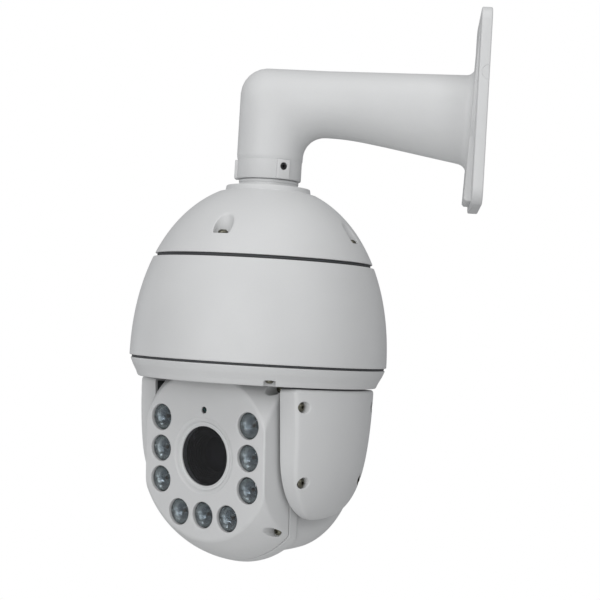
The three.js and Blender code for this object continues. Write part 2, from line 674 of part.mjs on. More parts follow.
function lensBarrel() {
  return bar(22, 44 + GAP, 60, 0, WINDOW.v).subtract(bar(19, 40, 58, 0, WINDOW.v));
}

function zoomGroup() {
  const cell = bar(18, 4, 18, 0, WINDOW.v);
  return cell.subtract(bar(14, 16, 20, 0, WINDOW.v));
}

function lampBoard() {
  const outer = bar(74, 50, 51.6).intersect(slice(0, 60, 62));
  return outer.subtract(bar(30.5, 40, 60, 0, WINDOW.v));
}

// Three lenses moulded on one strip behind the bezel.
function lampStrip(places) {
  const us = places.map(([u]) => u);
  const vs = places.map(([, v]) => v);
  const edge = LAMP.stripEdge;
  const u0 = Math.min(...us) - edge;
  const u1 = Math.max(...us) + edge;
  const v0 = Math.min(...vs) - edge;
  const v1 = Math.max(...vs) + edge;
  let body = box(57.5, 59.5, u0, u1, v0, v1);
  for (const [u, v] of places) body = body.add(bar(LAMP.r, 59, LAMP.front, u, v, ROUND));
  return body;
}

function lightSensor() {
  return bar(SENSOR.r, 52, FACE.n - 0.4, 0, SENSOR.v, SMALL);
}

function tiltPulley() {
  const shaft = crossBar(SHAFT_R, 54, TILT_DRIVE.u1);
  return shaft.add(crossBar(TILT_DRIVE.pulleyR, TILT_DRIVE.u0, TILT_DRIVE.u1, 0, 0, LINER));
}

// ---- assembly ----
const camera = new THREE.Group();

piece(camera, "wall_bracket", paint, wallBracket());
COLLAR_SCREW_AZIMUTHS.forEach((azimuth, i) => {
  piece(camera, `collar_set_screw_${i + 1}`, black, setScrew(azimuth));
});

const dome = new THREE.Group();
dome.position.set(0, -REACH, DOME_Z);
camera.add(dome);
piece(dome, "neck_adapter", paint, neckAdapter());
piece(dome, "top_cover", paint, topCover());
piece(dome, "cover_gasket", rubber, coverGasket());
coverScrewAzimuths.forEach((azimuth, i) => piece(dome, `cover_screw_${i + 1}`, steel, coverScrew(azimuth)));
piece(dome, "body_shell", paint, bodyShell());
piece(dome, "chin_gasket", rubber, chinGasket());
piece(dome, "chin_ring", paint, chinRing());
chinScrewAzimuths.forEach((azimuth, i) => piece(dome, `chin_screw_${i + 1}`, steel, chinScrew(azimuth)));
piece(dome, "pan_deck", alloy, panDeck());
piece(dome, "pan_bearing", steel, bearing(PAN.hubR + 0.5, DECK.bore - GAP, DECK.z, DECK.z + 9));
piece(dome, "slip_ring", black, slipRing());
piece(dome, "main_board", board, mainBoard());

const panDrive = new THREE.Group();
panDrive.rotation.z = rad(PAN_MOTOR_AZIMUTH);
dome.add(panDrive);
piece(panDrive, "pan_motor", black, panMotor());
const panPulley = post(PAN.motorR, PAN.z0, PAN.z1, PAN.offset, 0, SMALL);
piece(panDrive, "pan_motor_pulley", steel, panPulley.add(post(2.5, 82.3, 90, PAN.offset, 0, FINE)));
const panBelt = beltSolid(PAN.pulleyR + GAP, PAN.motorR + GAP, PAN.offset, 1.6, 8);
piece(panDrive, "pan_belt", rubber, panBelt.translate([0, 0, PAN.z0 + 1]));

const pan = new THREE.Group();
pan.rotation.z = rad(HEADING);
dome.add(pan);
piece(pan, "pan_hub", alloy, panHub());
piece(pan, "yoke_frame", alloy, yokeFrame());
const sides = [{ name: "left", turn: 0 }, { name: "right", turn: 180 }];
for (const { name, turn } of sides) {
  piece(pan, `${name}_arm_cover`, paint, turnAbout(armCover(), turn));
  piece(pan, `${name}_tilt_bearing`, steel, turnAbout(tiltBearing(), turn));
  ARM_SCREWS.forEach((place, i) => {
    piece(pan, `${name}_cover_screw_${2 * i + 1}`, steel, turnAbout(armScrew(place, 1), turn));
    piece(pan, `${name}_cover_screw_${2 * i + 2}`, steel, turnAbout(armScrew(place, -1), turn));
  });
}
piece(pan, "tilt_motor", black, tiltMotor());
const tiltMotorPulley = crossBar(TILT_DRIVE.motorR, TILT_DRIVE.u0, TILT_DRIVE.u1, 0, TILT_DRIVE.z, SMALL);
const tiltMotorShaft = crossBar(2, 87.3, 90, 0, TILT_DRIVE.z, FINE);
piece(pan, "tilt_motor_pulley", steel, tiltMotorPulley.add(tiltMotorShaft));
const tiltOffset = TILT_DRIVE.z - TILT_Z;
const tiltBelt = beltSolid(TILT_DRIVE.pulleyR + GAP, TILT_DRIVE.motorR + GAP, tiltOffset, 1.2, 4);
const uprightBelt = tiltBelt.rotate([0, -90, 0]).rotate([0, 0, 90]);
piece(pan, "tilt_belt", rubber, uprightBelt.translate([0, TILT_DRIVE.u1 - 0.5, TILT_Z]));

const head = new THREE.Group();
head.position.z = TILT_Z;
head.rotation.y = rad(TILT_DOWN);
pan.add(head);
piece(head, "front_bezel", paint, frontBezel());
piece(head, "head_gasket", rubber, headGasket());
piece(head, "back_shell", paint, backShell());
bezelScrews.forEach((place, i) => piece(head, `bezel_screw_${i + 1}`, steel, bezelScrew(place)));
piece(head, "window_ring", ring, windowRing());
piece(head, "window_glass", lensGlass, windowGlass());
piece(head, "camera_block", black, cameraBlock());
piece(head, "lens_barrel", black, lensBarrel());
piece(head, "zoom_group", black, zoomGroup());
piece(head, "lamp_board", board, lampBoard());
for (const [name, places] of Object.entries(lamps)) {
  piece(head, `${name}_lamp_lenses`, lensGlass, lampStrip(places));
}
piece(head, "light_sensor", lensGlass, lightSensor());
piece(head, "tilt_pulley", steel, tiltPulley());

export default camera;
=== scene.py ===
"""Outdoor pan-tilt-zoom dome camera on a wall bracket: visual model, materials, light and camera."""
import json
import math

import bmesh
import bpy
import numpy as np
from mathutils import Matrix, Vector

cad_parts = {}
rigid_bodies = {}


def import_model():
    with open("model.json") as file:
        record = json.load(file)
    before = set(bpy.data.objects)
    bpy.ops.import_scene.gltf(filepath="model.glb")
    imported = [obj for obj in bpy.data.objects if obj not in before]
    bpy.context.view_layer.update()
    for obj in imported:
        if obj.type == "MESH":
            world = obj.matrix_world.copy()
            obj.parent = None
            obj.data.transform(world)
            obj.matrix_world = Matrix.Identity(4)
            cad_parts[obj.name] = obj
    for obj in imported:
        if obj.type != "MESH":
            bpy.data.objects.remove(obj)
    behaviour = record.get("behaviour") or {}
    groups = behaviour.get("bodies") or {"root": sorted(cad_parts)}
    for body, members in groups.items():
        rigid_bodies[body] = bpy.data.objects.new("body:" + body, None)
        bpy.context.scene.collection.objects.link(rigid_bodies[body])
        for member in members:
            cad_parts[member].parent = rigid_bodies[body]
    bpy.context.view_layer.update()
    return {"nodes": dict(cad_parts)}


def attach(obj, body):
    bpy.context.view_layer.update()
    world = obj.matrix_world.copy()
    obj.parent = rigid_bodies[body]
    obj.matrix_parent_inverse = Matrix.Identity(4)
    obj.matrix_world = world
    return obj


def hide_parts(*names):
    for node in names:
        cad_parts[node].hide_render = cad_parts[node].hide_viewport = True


for spare in list(bpy.data.objects):
    bpy.data.objects.remove(spare)
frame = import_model()

MM = 0.001
rad = math.radians

# ---- frames: the dome's axis, the turning yoke (n forward, u along the tilt axis) and the head ----
REACH = 187  # from the wall to the dome's axis
DOME_Z, TILT_Z = -229.5, -76.8  # the dome's origin, and the tilt axis below it
PAN_TURN, HEAD_PITCH = -33.57, 3.84  # degrees, as the photograph shows the camera
DOME_AT = Matrix.Translation((0, -REACH, DOME_Z))
YOKE_AT = DOME_AT @ Matrix.Rotation(rad(PAN_TURN), 4, "Z")
HEAD_AT = YOKE_AT @ Matrix.Translation((0, 0, TILT_Z)) @ Matrix.Rotation(rad(HEAD_PITCH), 4, "Y")


# ---- mesh helpers; every shape is (points, faces) in millimetres in its own frame ----
def moved(shape, matrix):
    points, faces = shape
    points = np.asarray(points, float)
    m = np.array(matrix)
    return points @ m[:3, :3].T + m[:3, 3], faces


def thing(name, shape):
    """A new object from a shape."""
    points, faces = shape
    mesh = bpy.data.meshes.new(name)
    mesh.from_pydata([tuple(p) for p in np.asarray(points, float) * MM], [], faces)
    bm = bmesh.new()
    bm.from_mesh(mesh)
    bmesh.ops.recalc_face_normals(bm, faces=bm.faces)
    bm.to_mesh(mesh)
    bm.free()
    obj = bpy.data.objects.new(name, mesh)
    bpy.context.collection.objects.link(obj)
    return obj


def placed(obj, matrix):
    """Moves the object's mesh, so that the object itself stays at the origin."""
    scaled = matrix.copy()
    scaled.translation *= MM
    obj.data.transform(scaled)
    return obj


def settle(obj):
    """Applies the object's modifiers to its mesh."""
    graph = bpy.context.evaluated_depsgraph_get()
    mesh = bpy.data.meshes.new_from_object(obj.evaluated_get(graph))
    old = obj.data
    obj.modifiers.clear()
    obj.data = mesh
    bpy.data.meshes.remove(old)
    mesh.name = obj.name


def combine(obj, shape, how="DIFFERENCE"):
    """Cuts the shape or object out of obj, or joins it on; a solver that changes nothing is passed over."""
    tool = shape if isinstance(shape, bpy.types.Object) else thing("tool", shape)
    before = len(obj.data.polygons)
    for solver in ("MANIFOLD", "EXACT"):
        mod = obj.modifiers.new("cut", "BOOLEAN")
        mod.operation, mod.object, mod.solver = how, tool, solver
        graph = bpy.context.evaluated_depsgraph_get()
        made = len(obj.evaluated_get(graph).to_mesh().polygons)
        obj.evaluated_get(graph).to_mesh_clear()
        if made and made != before:
            settle(obj)
            break
        obj.modifiers.clear()
    mesh = tool.data
    bpy.data.objects.remove(tool)
    bpy.data.meshes.remove(mesh)
    return obj


def soften(obj, width, segments, angle=50):
    """Rounds the object's edges that are sharper than the angle."""
    mod = obj.modifiers.new("edge", "BEVEL")
    mod.width, mod.segments, mod.limit_method = width * MM, segments, "ANGLE"
    mod.angle_limit, mod.use_clamp_overlap = rad(angle), True
    settle(obj)
    return obj


def shape_of(obj):
    """Takes a finished helper object's mesh out of the scene, as a shape in millimetres."""
    mesh = obj.data
    points = np.array([v.co[:] for v in mesh.vertices]) / MM
    faces = [list(p.vertices) for p in mesh.polygons]
    bpy.data.objects.remove(obj)
    bpy.data.meshes.remove(mesh)
    return points, faces


def grid_faces(rows, columns, wrap=True):
    faces = []
    for k in range(rows - 1):
        for i in range(columns if wrap else columns - 1):
            j = (i + 1) % columns
            faces.append([k * columns + i, k * columns + j, (k + 1) * columns + j, (k + 1) * columns + i])
    return faces


def turned(profile, sides=128, closed=False):
    """Solid of revolution about z. closed: the profile is a loop that stays off the axis."""
    angle = np.arange(sides) * 2 * math.pi / sides
    c, s = np.cos(angle), np.sin(angle)
    points, rings = [], []
    for r, h in profile:
        rings.append((len(points), r > 1e-6))
        if r > 1e-6:
            points += list(np.stack([r * c, r * s, np.full(sides, h)], 1))
        else:
            points.append(np.array([0, 0, h]))
    faces = []
    pairs = list(zip(rings, rings[1:])) + ([(rings[-1], rings[0])] if closed else [])
    for (a, wide_a), (b, wide_b) in pairs:
        for i in range(sides):
            j = (i + 1) % sides
            if wide_a and wide_b:
                faces.append([a + i, a + j, b + j, b + i])
            elif wide_a:
                faces.append([a + i, a + j, b])
            elif wide_b:
                faces.append([a, b + j, b + i])
    return np.array(points), faces


X_AXIS = Matrix.Rotation(rad(90), 4, "Y")
U_AXIS = Matrix.Rotation(rad(-90), 4, "X")


def rounded(points, radii, closed=False, steps=5):
    """The polyline with its corners rounded; radii holds {corner index: radius}."""
    out, count = [], len(points)
    for i, p in enumerate(points):
        r = radii.get(i, 0)
        if not r or (not closed and i in (0, count - 1)):
            out.append(tuple(p))
            continue
        p = np.array(p, float)
        a = np.array(points[i - 1], float) - p
        b = np.array(points[(i + 1) % count], float) - p
        la, lb = np.linalg.norm(a), np.linalg.norm(b)
        a, b = a / la, b / lb
        half = math.acos(max(-1, min(1, float(a @ b)))) / 2
        run = min(r / math.tan(half), 0.49 * la, 0.49 * lb)
        r = run * math.tan(half)
        centre = p + (a + b) / np.linalg.norm(a + b) * (r / math.sin(half))
        start, end = p + a * run - centre, p + b * run - centre
        turn = math.atan2(start[0] * end[1] - start[1] * end[0], start @ end)
        for k in range(steps + 1):
            t = turn * k / steps
            out.append((centre[0] + start[0] * math.cos(t) - start[1] * math.sin(t),
                        centre[1] + start[0] * math.sin(t) + start[1] * math.cos(t)))
    return out


def lofted(rings):
    """Closed skin over rings of equal length, capped at both ends."""
    points = np.vstack([np.asarray(r, float) for r in rings])
    count = len(rings[0])
    faces = grid_faces(len(rings), count)
    last = (len(rings) - 1) * count
    faces.append(list(range(count))[::-1])
    faces.append(list(range(last, last + count)))
    return points, faces


def prism(outline, h0, h1):
    """The outline in the x-y plane, run from z = h0 to h1."""
    flat = np.array(outline, float)
    low = np.column_stack([flat, np.full(len(flat), h0)])
    high = np.column_stack([flat, np.full(len(flat), h1)])
    return lofted([low, high])


def hexagon(r):
    return [(r * math.cos(rad(60 * k)), r * math.sin(rad(60 * k))) for k in range(6)]


def box(x0, x1, y0, y1, z0, z1):
    return prism([(x0, y0), (x1, y0), (x1, y1), (x0, y1)], z0, z1)


def bar(r, h0, h1, sides=48):
    return turned([(0, h0), (r, h0), (r, h1), (0, h1)], sides)


def spun(shape, azimuth):
    return moved(shape, Matrix.Rotation(rad(azimuth), 4, "Z"))


def shifted(shape, x=0, y=0, z=0):
    return moved(shape, Matrix.Translation((x, y, z)))


def rounded_meet(parts, r):
    """Signed distance of the meeting of several solids, with its edges rounded to r."""
    stack = np.stack(np.broadcast_arrays(*parts)) + r
    return np.minimum(stack.max(0), 0) + np.sqrt((np.maximum(stack, 0) ** 2).sum(0)) - r


def reach(inside, origin, directions, far):
    """Distance along each direction to the surface where inside() turns positive."""
    near, out = np.zeros(len(directions)), np.full(len(directions), float(far))
    for _ in range(34):
        mid = (near + out) / 2
        past = inside(origin + directions * mid[:, None]) > 0
        out, near = np.where(past, mid, out), np.where(past, near, mid)
    return (near + out) / 2


def pocket(r, floor, fillet, surface, centre=(0, 0), sides=64, corner=0.3):
    """Cutter for a round pocket along z with its mouth flared to the curved surface(x, y) -> z."""
    angle = np.arange(sides) * 2 * math.pi / sides
    way = np.stack([np.cos(angle), np.sin(angle)], 1)

    def ring(radius, height):
        return np.column_stack([np.array(centre) + way * radius, np.broadcast_to(height, sides)])

    rings = [ring(r - corner, floor), ring(r, floor + corner)]
    lowest = floor + corner
    for turn in (0, 15, 30, 45, 60, 74):
        radius = r + fillet * (1 - math.cos(rad(turn)))
        at = np.array(centre) + way * radius
        lowest += 0.01
        height = surface(at[:, 0], at[:, 1]) - fillet * (1 - math.sin(rad(turn)))
        rings.append(ring(radius, np.maximum(height, lowest)))
    radius += fillet * 0.3
    at = np.array(centre) + way * radius
    height = np.maximum(surface(at[:, 0], at[:, 1]) + fillet * 0.08, lowest + 0.02)
    rings += [ring(radius, height), ring(radius, height + 9)]
    return lofted(rings)


def across(shape):
    """A shape made on an (n, z) outline with its height along z, turned to stand along u."""
    points, faces = shape
    return points[:, [0, 2, 1]], faces


def bezier(p, count):
    t = np.linspace(0, 1, count)[:, None]
    a, b, c, d = (np.array(q, float) for q in p)
    return a * (1 - t) ** 3 + 3 * b * t * (1 - t) ** 2 + 3 * c * t ** 2 * (1 - t) + d * t ** 3


# ---- materials ----
def material(name, colour, rough, metal=0.0, **inputs):
    """A principled material and its node tree; inputs set further sockets, by name with _ for space."""
    mat = bpy.data.materials.new(name)
    mat.use_nodes = True
    tree = mat.node_tree
    shader = tree.nodes["Principled BSDF"]
    shader.inputs["Base Color"].default_value = (*colour, 1)
    shader.inputs["Roughness"].default_value = rough
    shader.inputs["Metallic"].default_value = metal
    for key, value in inputs.items():
        shader.inputs[key.replace("_", " ")].default_value = value
    return mat, tree, shader


def node(tree, kind, links=None, **settings):
    made = tree.nodes.new(kind)
    for key, value in settings.items():
        if hasattr(made, key):
            setattr(made, key, value)
        else:
            made.inputs[key.replace("_", " ")].default_value = value
    for key, source in (links or {}).items():
        tree.links.new(source, made.inputs[key])
    return made


def noise(tree, scale, detail):
    where = node(tree, "ShaderNodeTexCoord").outputs["Object"]
    return node(tree, "ShaderNodeTexNoise", {"Vector": where}, Scale=scale, Detail=detail).outputs["Fac"]


def mean(tree, first, second):
    both = node(tree, "ShaderNodeMath", {0: first, 1: second}, operation="ADD").outputs[0]
    half = node(tree, "ShaderNodeMath", {0: both}, operation="MULTIPLY")
    half.inputs[1].default_value = 0.5
    return half.outputs[0]


def ramp(tree, fac, low, high, start=0.3, end=0.7):
    made = node(tree, "ShaderNodeValToRGB", {"Fac": fac})
    made.color_ramp.elements[0].position, made.color_ramp.elements[1].position = start, end
    made.color_ramp.elements[0].color, made.color_ramp.elements[1].color = (*low, 1), (*high, 1)
    return made.outputs["Color"]


def spread(tree, fac, low, high):
    made = node(tree, "ShaderNodeMapRange", {"Value": fac}, clamp=True)
    for key, value in (("From Min", 0.3), ("From Max", 0.7), ("To Min", low), ("To Max", high)):
        made.inputs[key].default_value = value
    return made.outputs["Result"]


def varied(tree, shader, tone, low, high, sheen, rough):
    """Colour from low to high by the tone noise, and roughness over its range by the sheen noise."""
    tree.links.new(ramp(tree, tone, low, high), shader.inputs["Base Color"])
    tree.links.new(spread(tree, sheen, *rough), shader.inputs["Roughness"])


def bumped(tree, shader, *layers):
    """layers: (height socket, strength, depth in millimetres), from the finest to the coarsest."""
    normal = None
    for height, strength, depth in layers:
        links = {"Height": height}
        if normal:
            links["Normal"] = normal
        made = node(tree, "ShaderNodeBump", links, Strength=strength, Distance=depth * MM)
        normal = made.outputs["Normal"]
    tree.links.new(normal, shader.inputs["Normal"])


def speckled(name, low, high, rough, metal=0.0, scale=500, bump=0.1, depth=0.05, patch=30):
    """Colour that drifts in large patches, with a fine grain in its roughness and its surface."""
    mat, tree, shader = material(name, low, rough[0], metal)
    fine, broad = noise(tree, scale, 3), noise(tree, patch, 4)
    varied(tree, shader, mean(tree, fine, broad), low, high, broad, rough)
    bumped(tree, shader, (fine, bump, depth))
    return mat


def powder_coat(name, low, high, rough):
    """Baked powder paint: orange peel, fine grain, and a slight drift of tone."""
    mat, tree, shader = material(name, low, rough[0], 0.0, Specular_IOR_Level=0.45)
    grain, peel, drift = noise(tree, 2600, 2), noise(tree, 620, 2), noise(tree, 14, 3)
    varied(tree, shader, mean(tree, drift, grain), low, high, peel, rough)
    bumped(tree, shader, (grain, 0.10, 0.02), (peel, 0.16, 0.05))
    return mat


paint = powder_coat("paint", (0.575, 0.580, 0.582), (0.635, 0.640, 0.642), (0.40, 0.52))
ring_paint = powder_coat("window_ring", (0.60, 0.61, 0.61), (0.66, 0.67, 0.67), (0.32, 0.40))
rubber = speckled("gasket", (0.040, 0.042, 0.045), (0.070, 0.073, 0.077), (0.60, 0.75),
                  scale=1800, bump=0.2)
belt = speckled("belt", (0.010, 0.010, 0.011), (0.022, 0.022, 0.023), (0.70, 0.85), scale=2400, bump=0.3)
screw_metal = speckled("screw", (0.10, 0.10, 0.08), (0.20, 0.19, 0.15), (0.26, 0.38),
                       1.0, scale=900, bump=0.06)
black_oxide = speckled("set_screw", (0.020, 0.020, 0.022), (0.045, 0.045, 0.048), (0.38, 0.52),
                       0.7, scale=1200)
steel = speckled("steel", (0.36, 0.36, 0.37), (0.52, 0.52, 0.53), (0.26, 0.40),
                 1.0, scale=1500, bump=0.05)
alloy = speckled("frame_alloy", (0.10, 0.105, 0.11), (0.17, 0.175, 0.18), (0.45, 0.6),
                 0.8, scale=900, bump=0.2)
motor = speckled("motor_case", (0.012, 0.012, 0.013), (0.03, 0.03, 0.032), (0.42, 0.56), 0.4, scale=1000)
board = speckled("circuit_board", (0.010, 0.075, 0.030), (0.020, 0.115, 0.050), (0.38, 0.55),
                 scale=380, bump=0.3)
plastic = speckled("black_plastic", (0.010, 0.010, 0.012), (0.018, 0.018, 0.021), (0.34, 0.48), scale=1400)
silver = speckled("reflector", (0.50, 0.54, 0.52), (0.74, 0.77, 0.74), (0.14, 0.24),
                  1.0, scale=700, bump=0.05)
emitter = speckled("emitter", (0.10, 0.09, 0.08), (0.22, 0.19, 0.15), (0.3, 0.4), scale=1600, bump=0.2)


def clear(name, low, high, rough, ior):
    """Tinted glass or moulded lens with faint flow marks."""
    mat, tree, shader = material(name, low, rough[0], 0.0, IOR=ior, Transmission_Weight=1.0)
    drift = noise(tree, 60, 3)
    varied(tree, shader, drift, low, high, drift, rough)
    bumped(tree, shader, (noise(tree, 130, 2), 0.05, 0.05))
    return mat


window = clear("window_glass", (0.30, 0.31, 0.33), (0.36, 0.37, 0.39), (0.01, 0.03), 1.40)
lamp_lens = clear("lamp_lens", (0.50, 0.53, 0.57), (0.60, 0.63, 0.66), (0.02, 0.06), 1.55)
sensor_lens = clear("sensor_lens", (0.03, 0.22, 0.22), (0.05, 0.30, 0.29), (0.05, 0.10), 1.5)
coated = speckled("coated_lens", (0.006, 0.005, 0.012), (0.014, 0.010, 0.026), (0.04, 0.08),
                  scale=200, bump=0.01)

SLOTS = {"paint": paint, "screw": screw_metal, "set_screw": black_oxide, "gasket": rubber, "belt": belt,
         "steel": steel, "frame_alloy": alloy, "motor_case": motor, "circuit_board": board,
         "black_plastic": plastic, "window_ring": ring_paint, "window_glass": window,
         "lamp_lens": lamp_lens, "sensor_lens": sensor_lens}


def finish_piece(obj, body, slot, nodes=(), mat=None, angle=32):
    obj.data.materials.clear()
    obj.data.materials.append(mat or SLOTS[slot])
    obj.data.polygons.foreach_set("material_index", [0] * len(obj.data.polygons))
    obj.data.shade_smooth()
    obj.data.set_sharp_from_angle(angle=rad(angle))
    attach(obj, body)
    if nodes:
        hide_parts(*nodes)
    return obj


# ---- wall bracket: the wall is y = 0 and the plate's middle is z = 0 ----
PLATE_W, PLATE_H, PLATE_T = 120, 169, 9.2
HOLE_X, HOLE_Z = 44, 68
SPINE_TOP, SPINE_FOOT, SPINE_RISE = 80, -78, 6
ARM_HALF, ARM_TOP = 29, 31
ELBOW_Y, ELBOW_Z = -139, -47  # the point that the elbow bends round
ELBOW_INNER, ELBOW_W, ELBOW_H, ELBOW_R = 19, 77.4, 78, 24
COLLAR_BOTTOM, SET_SCREW_Z = -68.5, -57.5
COLLAR_AZIMUTHS = (30, 150, 270)


def elbow_reach(angle, inset):
    """Distance from the elbow's bend to its outer side, a rectangle with one rounded corner."""
    w, h, r = ELBOW_W - inset, ELBOW_H - inset, ELBOW_R - inset
    c, s = math.cos(angle), math.sin(angle)
    if s * w <= (h - r) * c:
        return w / c
    if c * h <= (w - r) * s:
        return h / s
    along = (w - r) * c + (h - r) * s
    return along + math.sqrt(along ** 2 - (w - r) ** 2 - (h - r) ** 2 + r ** 2)


def spine_front(z):
    return -PLATE_T - SPINE_RISE * np.clip((SPINE_TOP - z) / (SPINE_TOP - SPINE_FOOT), 0, 1)


def section(count, up, down, half, pinch):
    """Offsets (sideways, outward) of one ring of the arm: a round top and a pinched lower half."""
    a = np.arange(count) * 2 * math.pi / count
    c, s = np.cos(a), np.sin(a)
    wide = np.where(c >= 0, half * s, half * np.sign(s) * np.abs(s) ** pinch)
    return wide, np.where(c >= 0, up * c, down * c)


def arm_skin(inset, collar, bottom, end, count, fine):
    """The collar, elbow and arm as one solid; with an inset it is the hollow inside them."""
    rings = []
    half = ARM_HALF - inset

    def level(r, z):
        wide, high = section(count, r, r, r, 1)
        return np.column_stack([wide, -REACH - high, np.full(count, z)])

    if inset:
        rings += [level(collar, bottom), level(collar, -51)]
    else:
        rings += [level(collar - 1.2, bottom), level(collar - 0.4, bottom + 0.3)]
        rings += [level(collar, bottom + 1.1), level(collar, -52)]
        rings += [level(collar + 0.12, -51.2), level(collar + 0.5, -50.4)]
    for i in range(fine + 1):
        angle = math.pi / 2 * i / fine
        far, near = elbow_reach(angle, inset), ELBOW_INNER + inset
        out = np.array([-math.cos(angle), math.sin(angle)])
        centre = np.array([ELBOW_Y, ELBOW_Z]) + out * (far + near) / 2
        wide, high = section(count, (far - near) / 2, (far - near) / 2, half, 1)
        rings.append(np.column_stack([wide, centre[0] + out[0] * high, centre[1] + out[1] * high]))
    under = bezier([(ELBOW_Y, -28), (-112, -28), (-100, -31.5), (-9, -47.3)], 4 * fine)

    def arm_section(y, grow=0.0):
        share = (y - ELBOW_Y) / -ELBOW_Y
        mid = ARM_TOP + 2.5 * share - ARM_HALF
        low = np.interp(y, under[:, 0], under[:, 1])
        return mid, section(count, half + grow, mid - low - inset + grow, half + grow, 1 + 0.3 * share)

    stop = end if inset else -24.5
    for y in np.linspace(ELBOW_Y, stop, 2 * fine + 1)[1:]:
        mid, (wide, high) = arm_section(y)
        rings.append(np.column_stack([wide, np.full(count, y), mid + high]))
    if not inset:
        fillet = 7.0
        for t in fillet * (1 - np.sin(np.radians(np.linspace(0, 90, 9)))):
            grow = fillet - math.sqrt(max(0, fillet ** 2 - (fillet - t) ** 2))
            mid, (wide, high) = arm_section(-PLATE_T - 4 - t, grow)
            rings.append(np.column_stack([wide, spine_front(mid + high) - t, mid + high]))
        last = rings[-1].copy()
        last[:, 1] = end
        rings.append(last)
    return lofted(rings)


def rounded_rect(w, h, r, steps=10):
    corners = [(-w / 2, -h / 2), (w / 2, -h / 2), (w / 2, h / 2), (-w / 2, h / 2)]
    return rounded(corners, {i: r for i in range(4)}, closed=True, steps=steps)


STAND = Matrix.Rotation(rad(90), 4, "X")  # outline (x, z), height towards -y

plate = thing("plate", moved(prism(rounded_rect(PLATE_W, PLATE_H, 14), 0, PLATE_T), STAND))
soften(plate, 1.4, 4)
side = [(-4, SPINE_TOP), (-PLATE_T, SPINE_TOP), (-PLATE_T - SPINE_RISE, SPINE_FOOT),
        (-PLATE_T - 4.5, SPINE_FOOT - 2), (-4, SPINE_FOOT - 2)]
SIDEWAYS = Matrix(((0, 0, 1, 0), (1, 0, 0, 0), (0, 1, 0, 0), (0, 0, 0, 1)))  # outline (y, z), height along x
spine = thing("spine", moved(prism(side, -30, 30), SIDEWAYS))
soften(spine, 1.2, 4)
arm = arm_skin(inset=0, collar=28.4, bottom=COLLAR_BOTTOM, end=-5, count=128, fine=28)
bracket = thing("wall_bracket_casting", arm)
for azimuth in COLLAR_AZIMUTHS:
    pad = thing("pad", shifted(spun(box(25.5, 30.4, -6, 6, COLLAR_BOTTOM, -51.8), azimuth), y=-REACH))
    soften(pad, 0.8, 3)
    combine(bracket, pad, "UNION")
combine(bracket, spine, "UNION")
combine(bracket, plate, "UNION")
combine(bracket, arm_skin(inset=4.5, collar=24, bottom=COLLAR_BOTTOM - 1, end=-6.5, count=64, fine=12))
combine(bracket, moved(bar(13, -1, 12), STAND @ Matrix.Translation((0, -20, 0))))
for azimuth in COLLAR_AZIMUTHS:
    bore = [(0, 21), (3.3, 21), (3.3, 30), (3.7, 30.45), (3.7, 33), (0, 33)]
    hole = moved(turned(bore, 40), Matrix.Translation((0, 0, SET_SCREW_Z)) @ X_AXIS)
    combine(bracket, shifted(spun(hole, azimuth), y=-REACH))
for x in (-HOLE_X, HOLE_X):
    for z in (-HOLE_Z, HOLE_Z):
        bore = [(0, -1), (3.6, -1), (3.6, 8.7), (4.2, 9.3), (4.2, 12), (0, 12)]
        combine(bracket, moved(turned(bore, 48), STAND @ Matrix.Translation((x, z, 0))))
# cable knock-out marked by a groove on both narrow sides of the plate
for x in (-PLATE_W / 2, PLATE_W / 2):
    rings = []
    for t in np.radians(np.linspace(-4, 184, 28)):
        out = np.array([0, -math.cos(math.pi / 2 - t), math.sin(t - math.pi / 2)])
        centre = np.array([x, 0, 0]) + 6.5 * out
        rings.append([centre + 0.35 * (math.cos(q) * out + math.sin(q) * np.array([1, 0, 0]))
                      for q in np.radians(np.arange(0, 360, 45))])
    combine(bracket, shifted(lofted(rings), z=27))
finish_piece(bracket, "housing", "paint", ["wall_bracket"])

for i, azimuth in enumerate(COLLAR_AZIMUTHS):
    profile = rounded([(0, 24), (2.5, 24), (3, 24.6), (3, 29.2), (0, 29.2)], {3: 0.35})
    set_screw = thing(f"set_screw_{i + 1}", turned(profile, 40))
    combine(set_screw, prism(hexagon(1.5), 26.4, 31))
    at = Matrix.Translation((0, -REACH, SET_SCREW_Z)) @ Matrix.Rotation(rad(azimuth), 4, "Z") @ X_AXIS
    finish_piece(placed(set_screw, at), "housing", "set_screw", [f"collar_set_screw_{i + 1}"])


# ---- dome housing: a superellipse of revolution; heights from the chin seam ----
DOME_R, DOME_H, DOME_POWER = 113.4, 158, 2.18
SIDES = 256
COVER_AZIMUTHS = [-20, 70, 160, 250]
COVER_BOLT_R = 82.2
CHIN_AZIMUTHS = [11.3, 131.3, 251.3]


def dome_radius(z, inset=0.0):
    share = np.clip(np.asarray(z, float) / (DOME_H - inset * 1.1), 0, 1)
    return (DOME_R - inset) * (1 - share ** DOME_POWER) ** (1 / DOME_POWER)


def dome_height(x, y):
    r = np.clip(np.hypot(x, y) / DOME_R, 0, 1)
    return DOME_H * (1 - r ** DOME_POWER) ** (1 / DOME_POWER)


def dome_skin(z0, z1, inset, steps):
    """The dome's profile from z0 to z1, with its points closer together towards the top."""
    z = z0 + (z1 - z0) * np.sin(math.pi / 2 * np.linspace(0, 1, steps + 1))
    return [(float(r), float(h)) for r, h in zip(dome_radius(z, inset), z)]


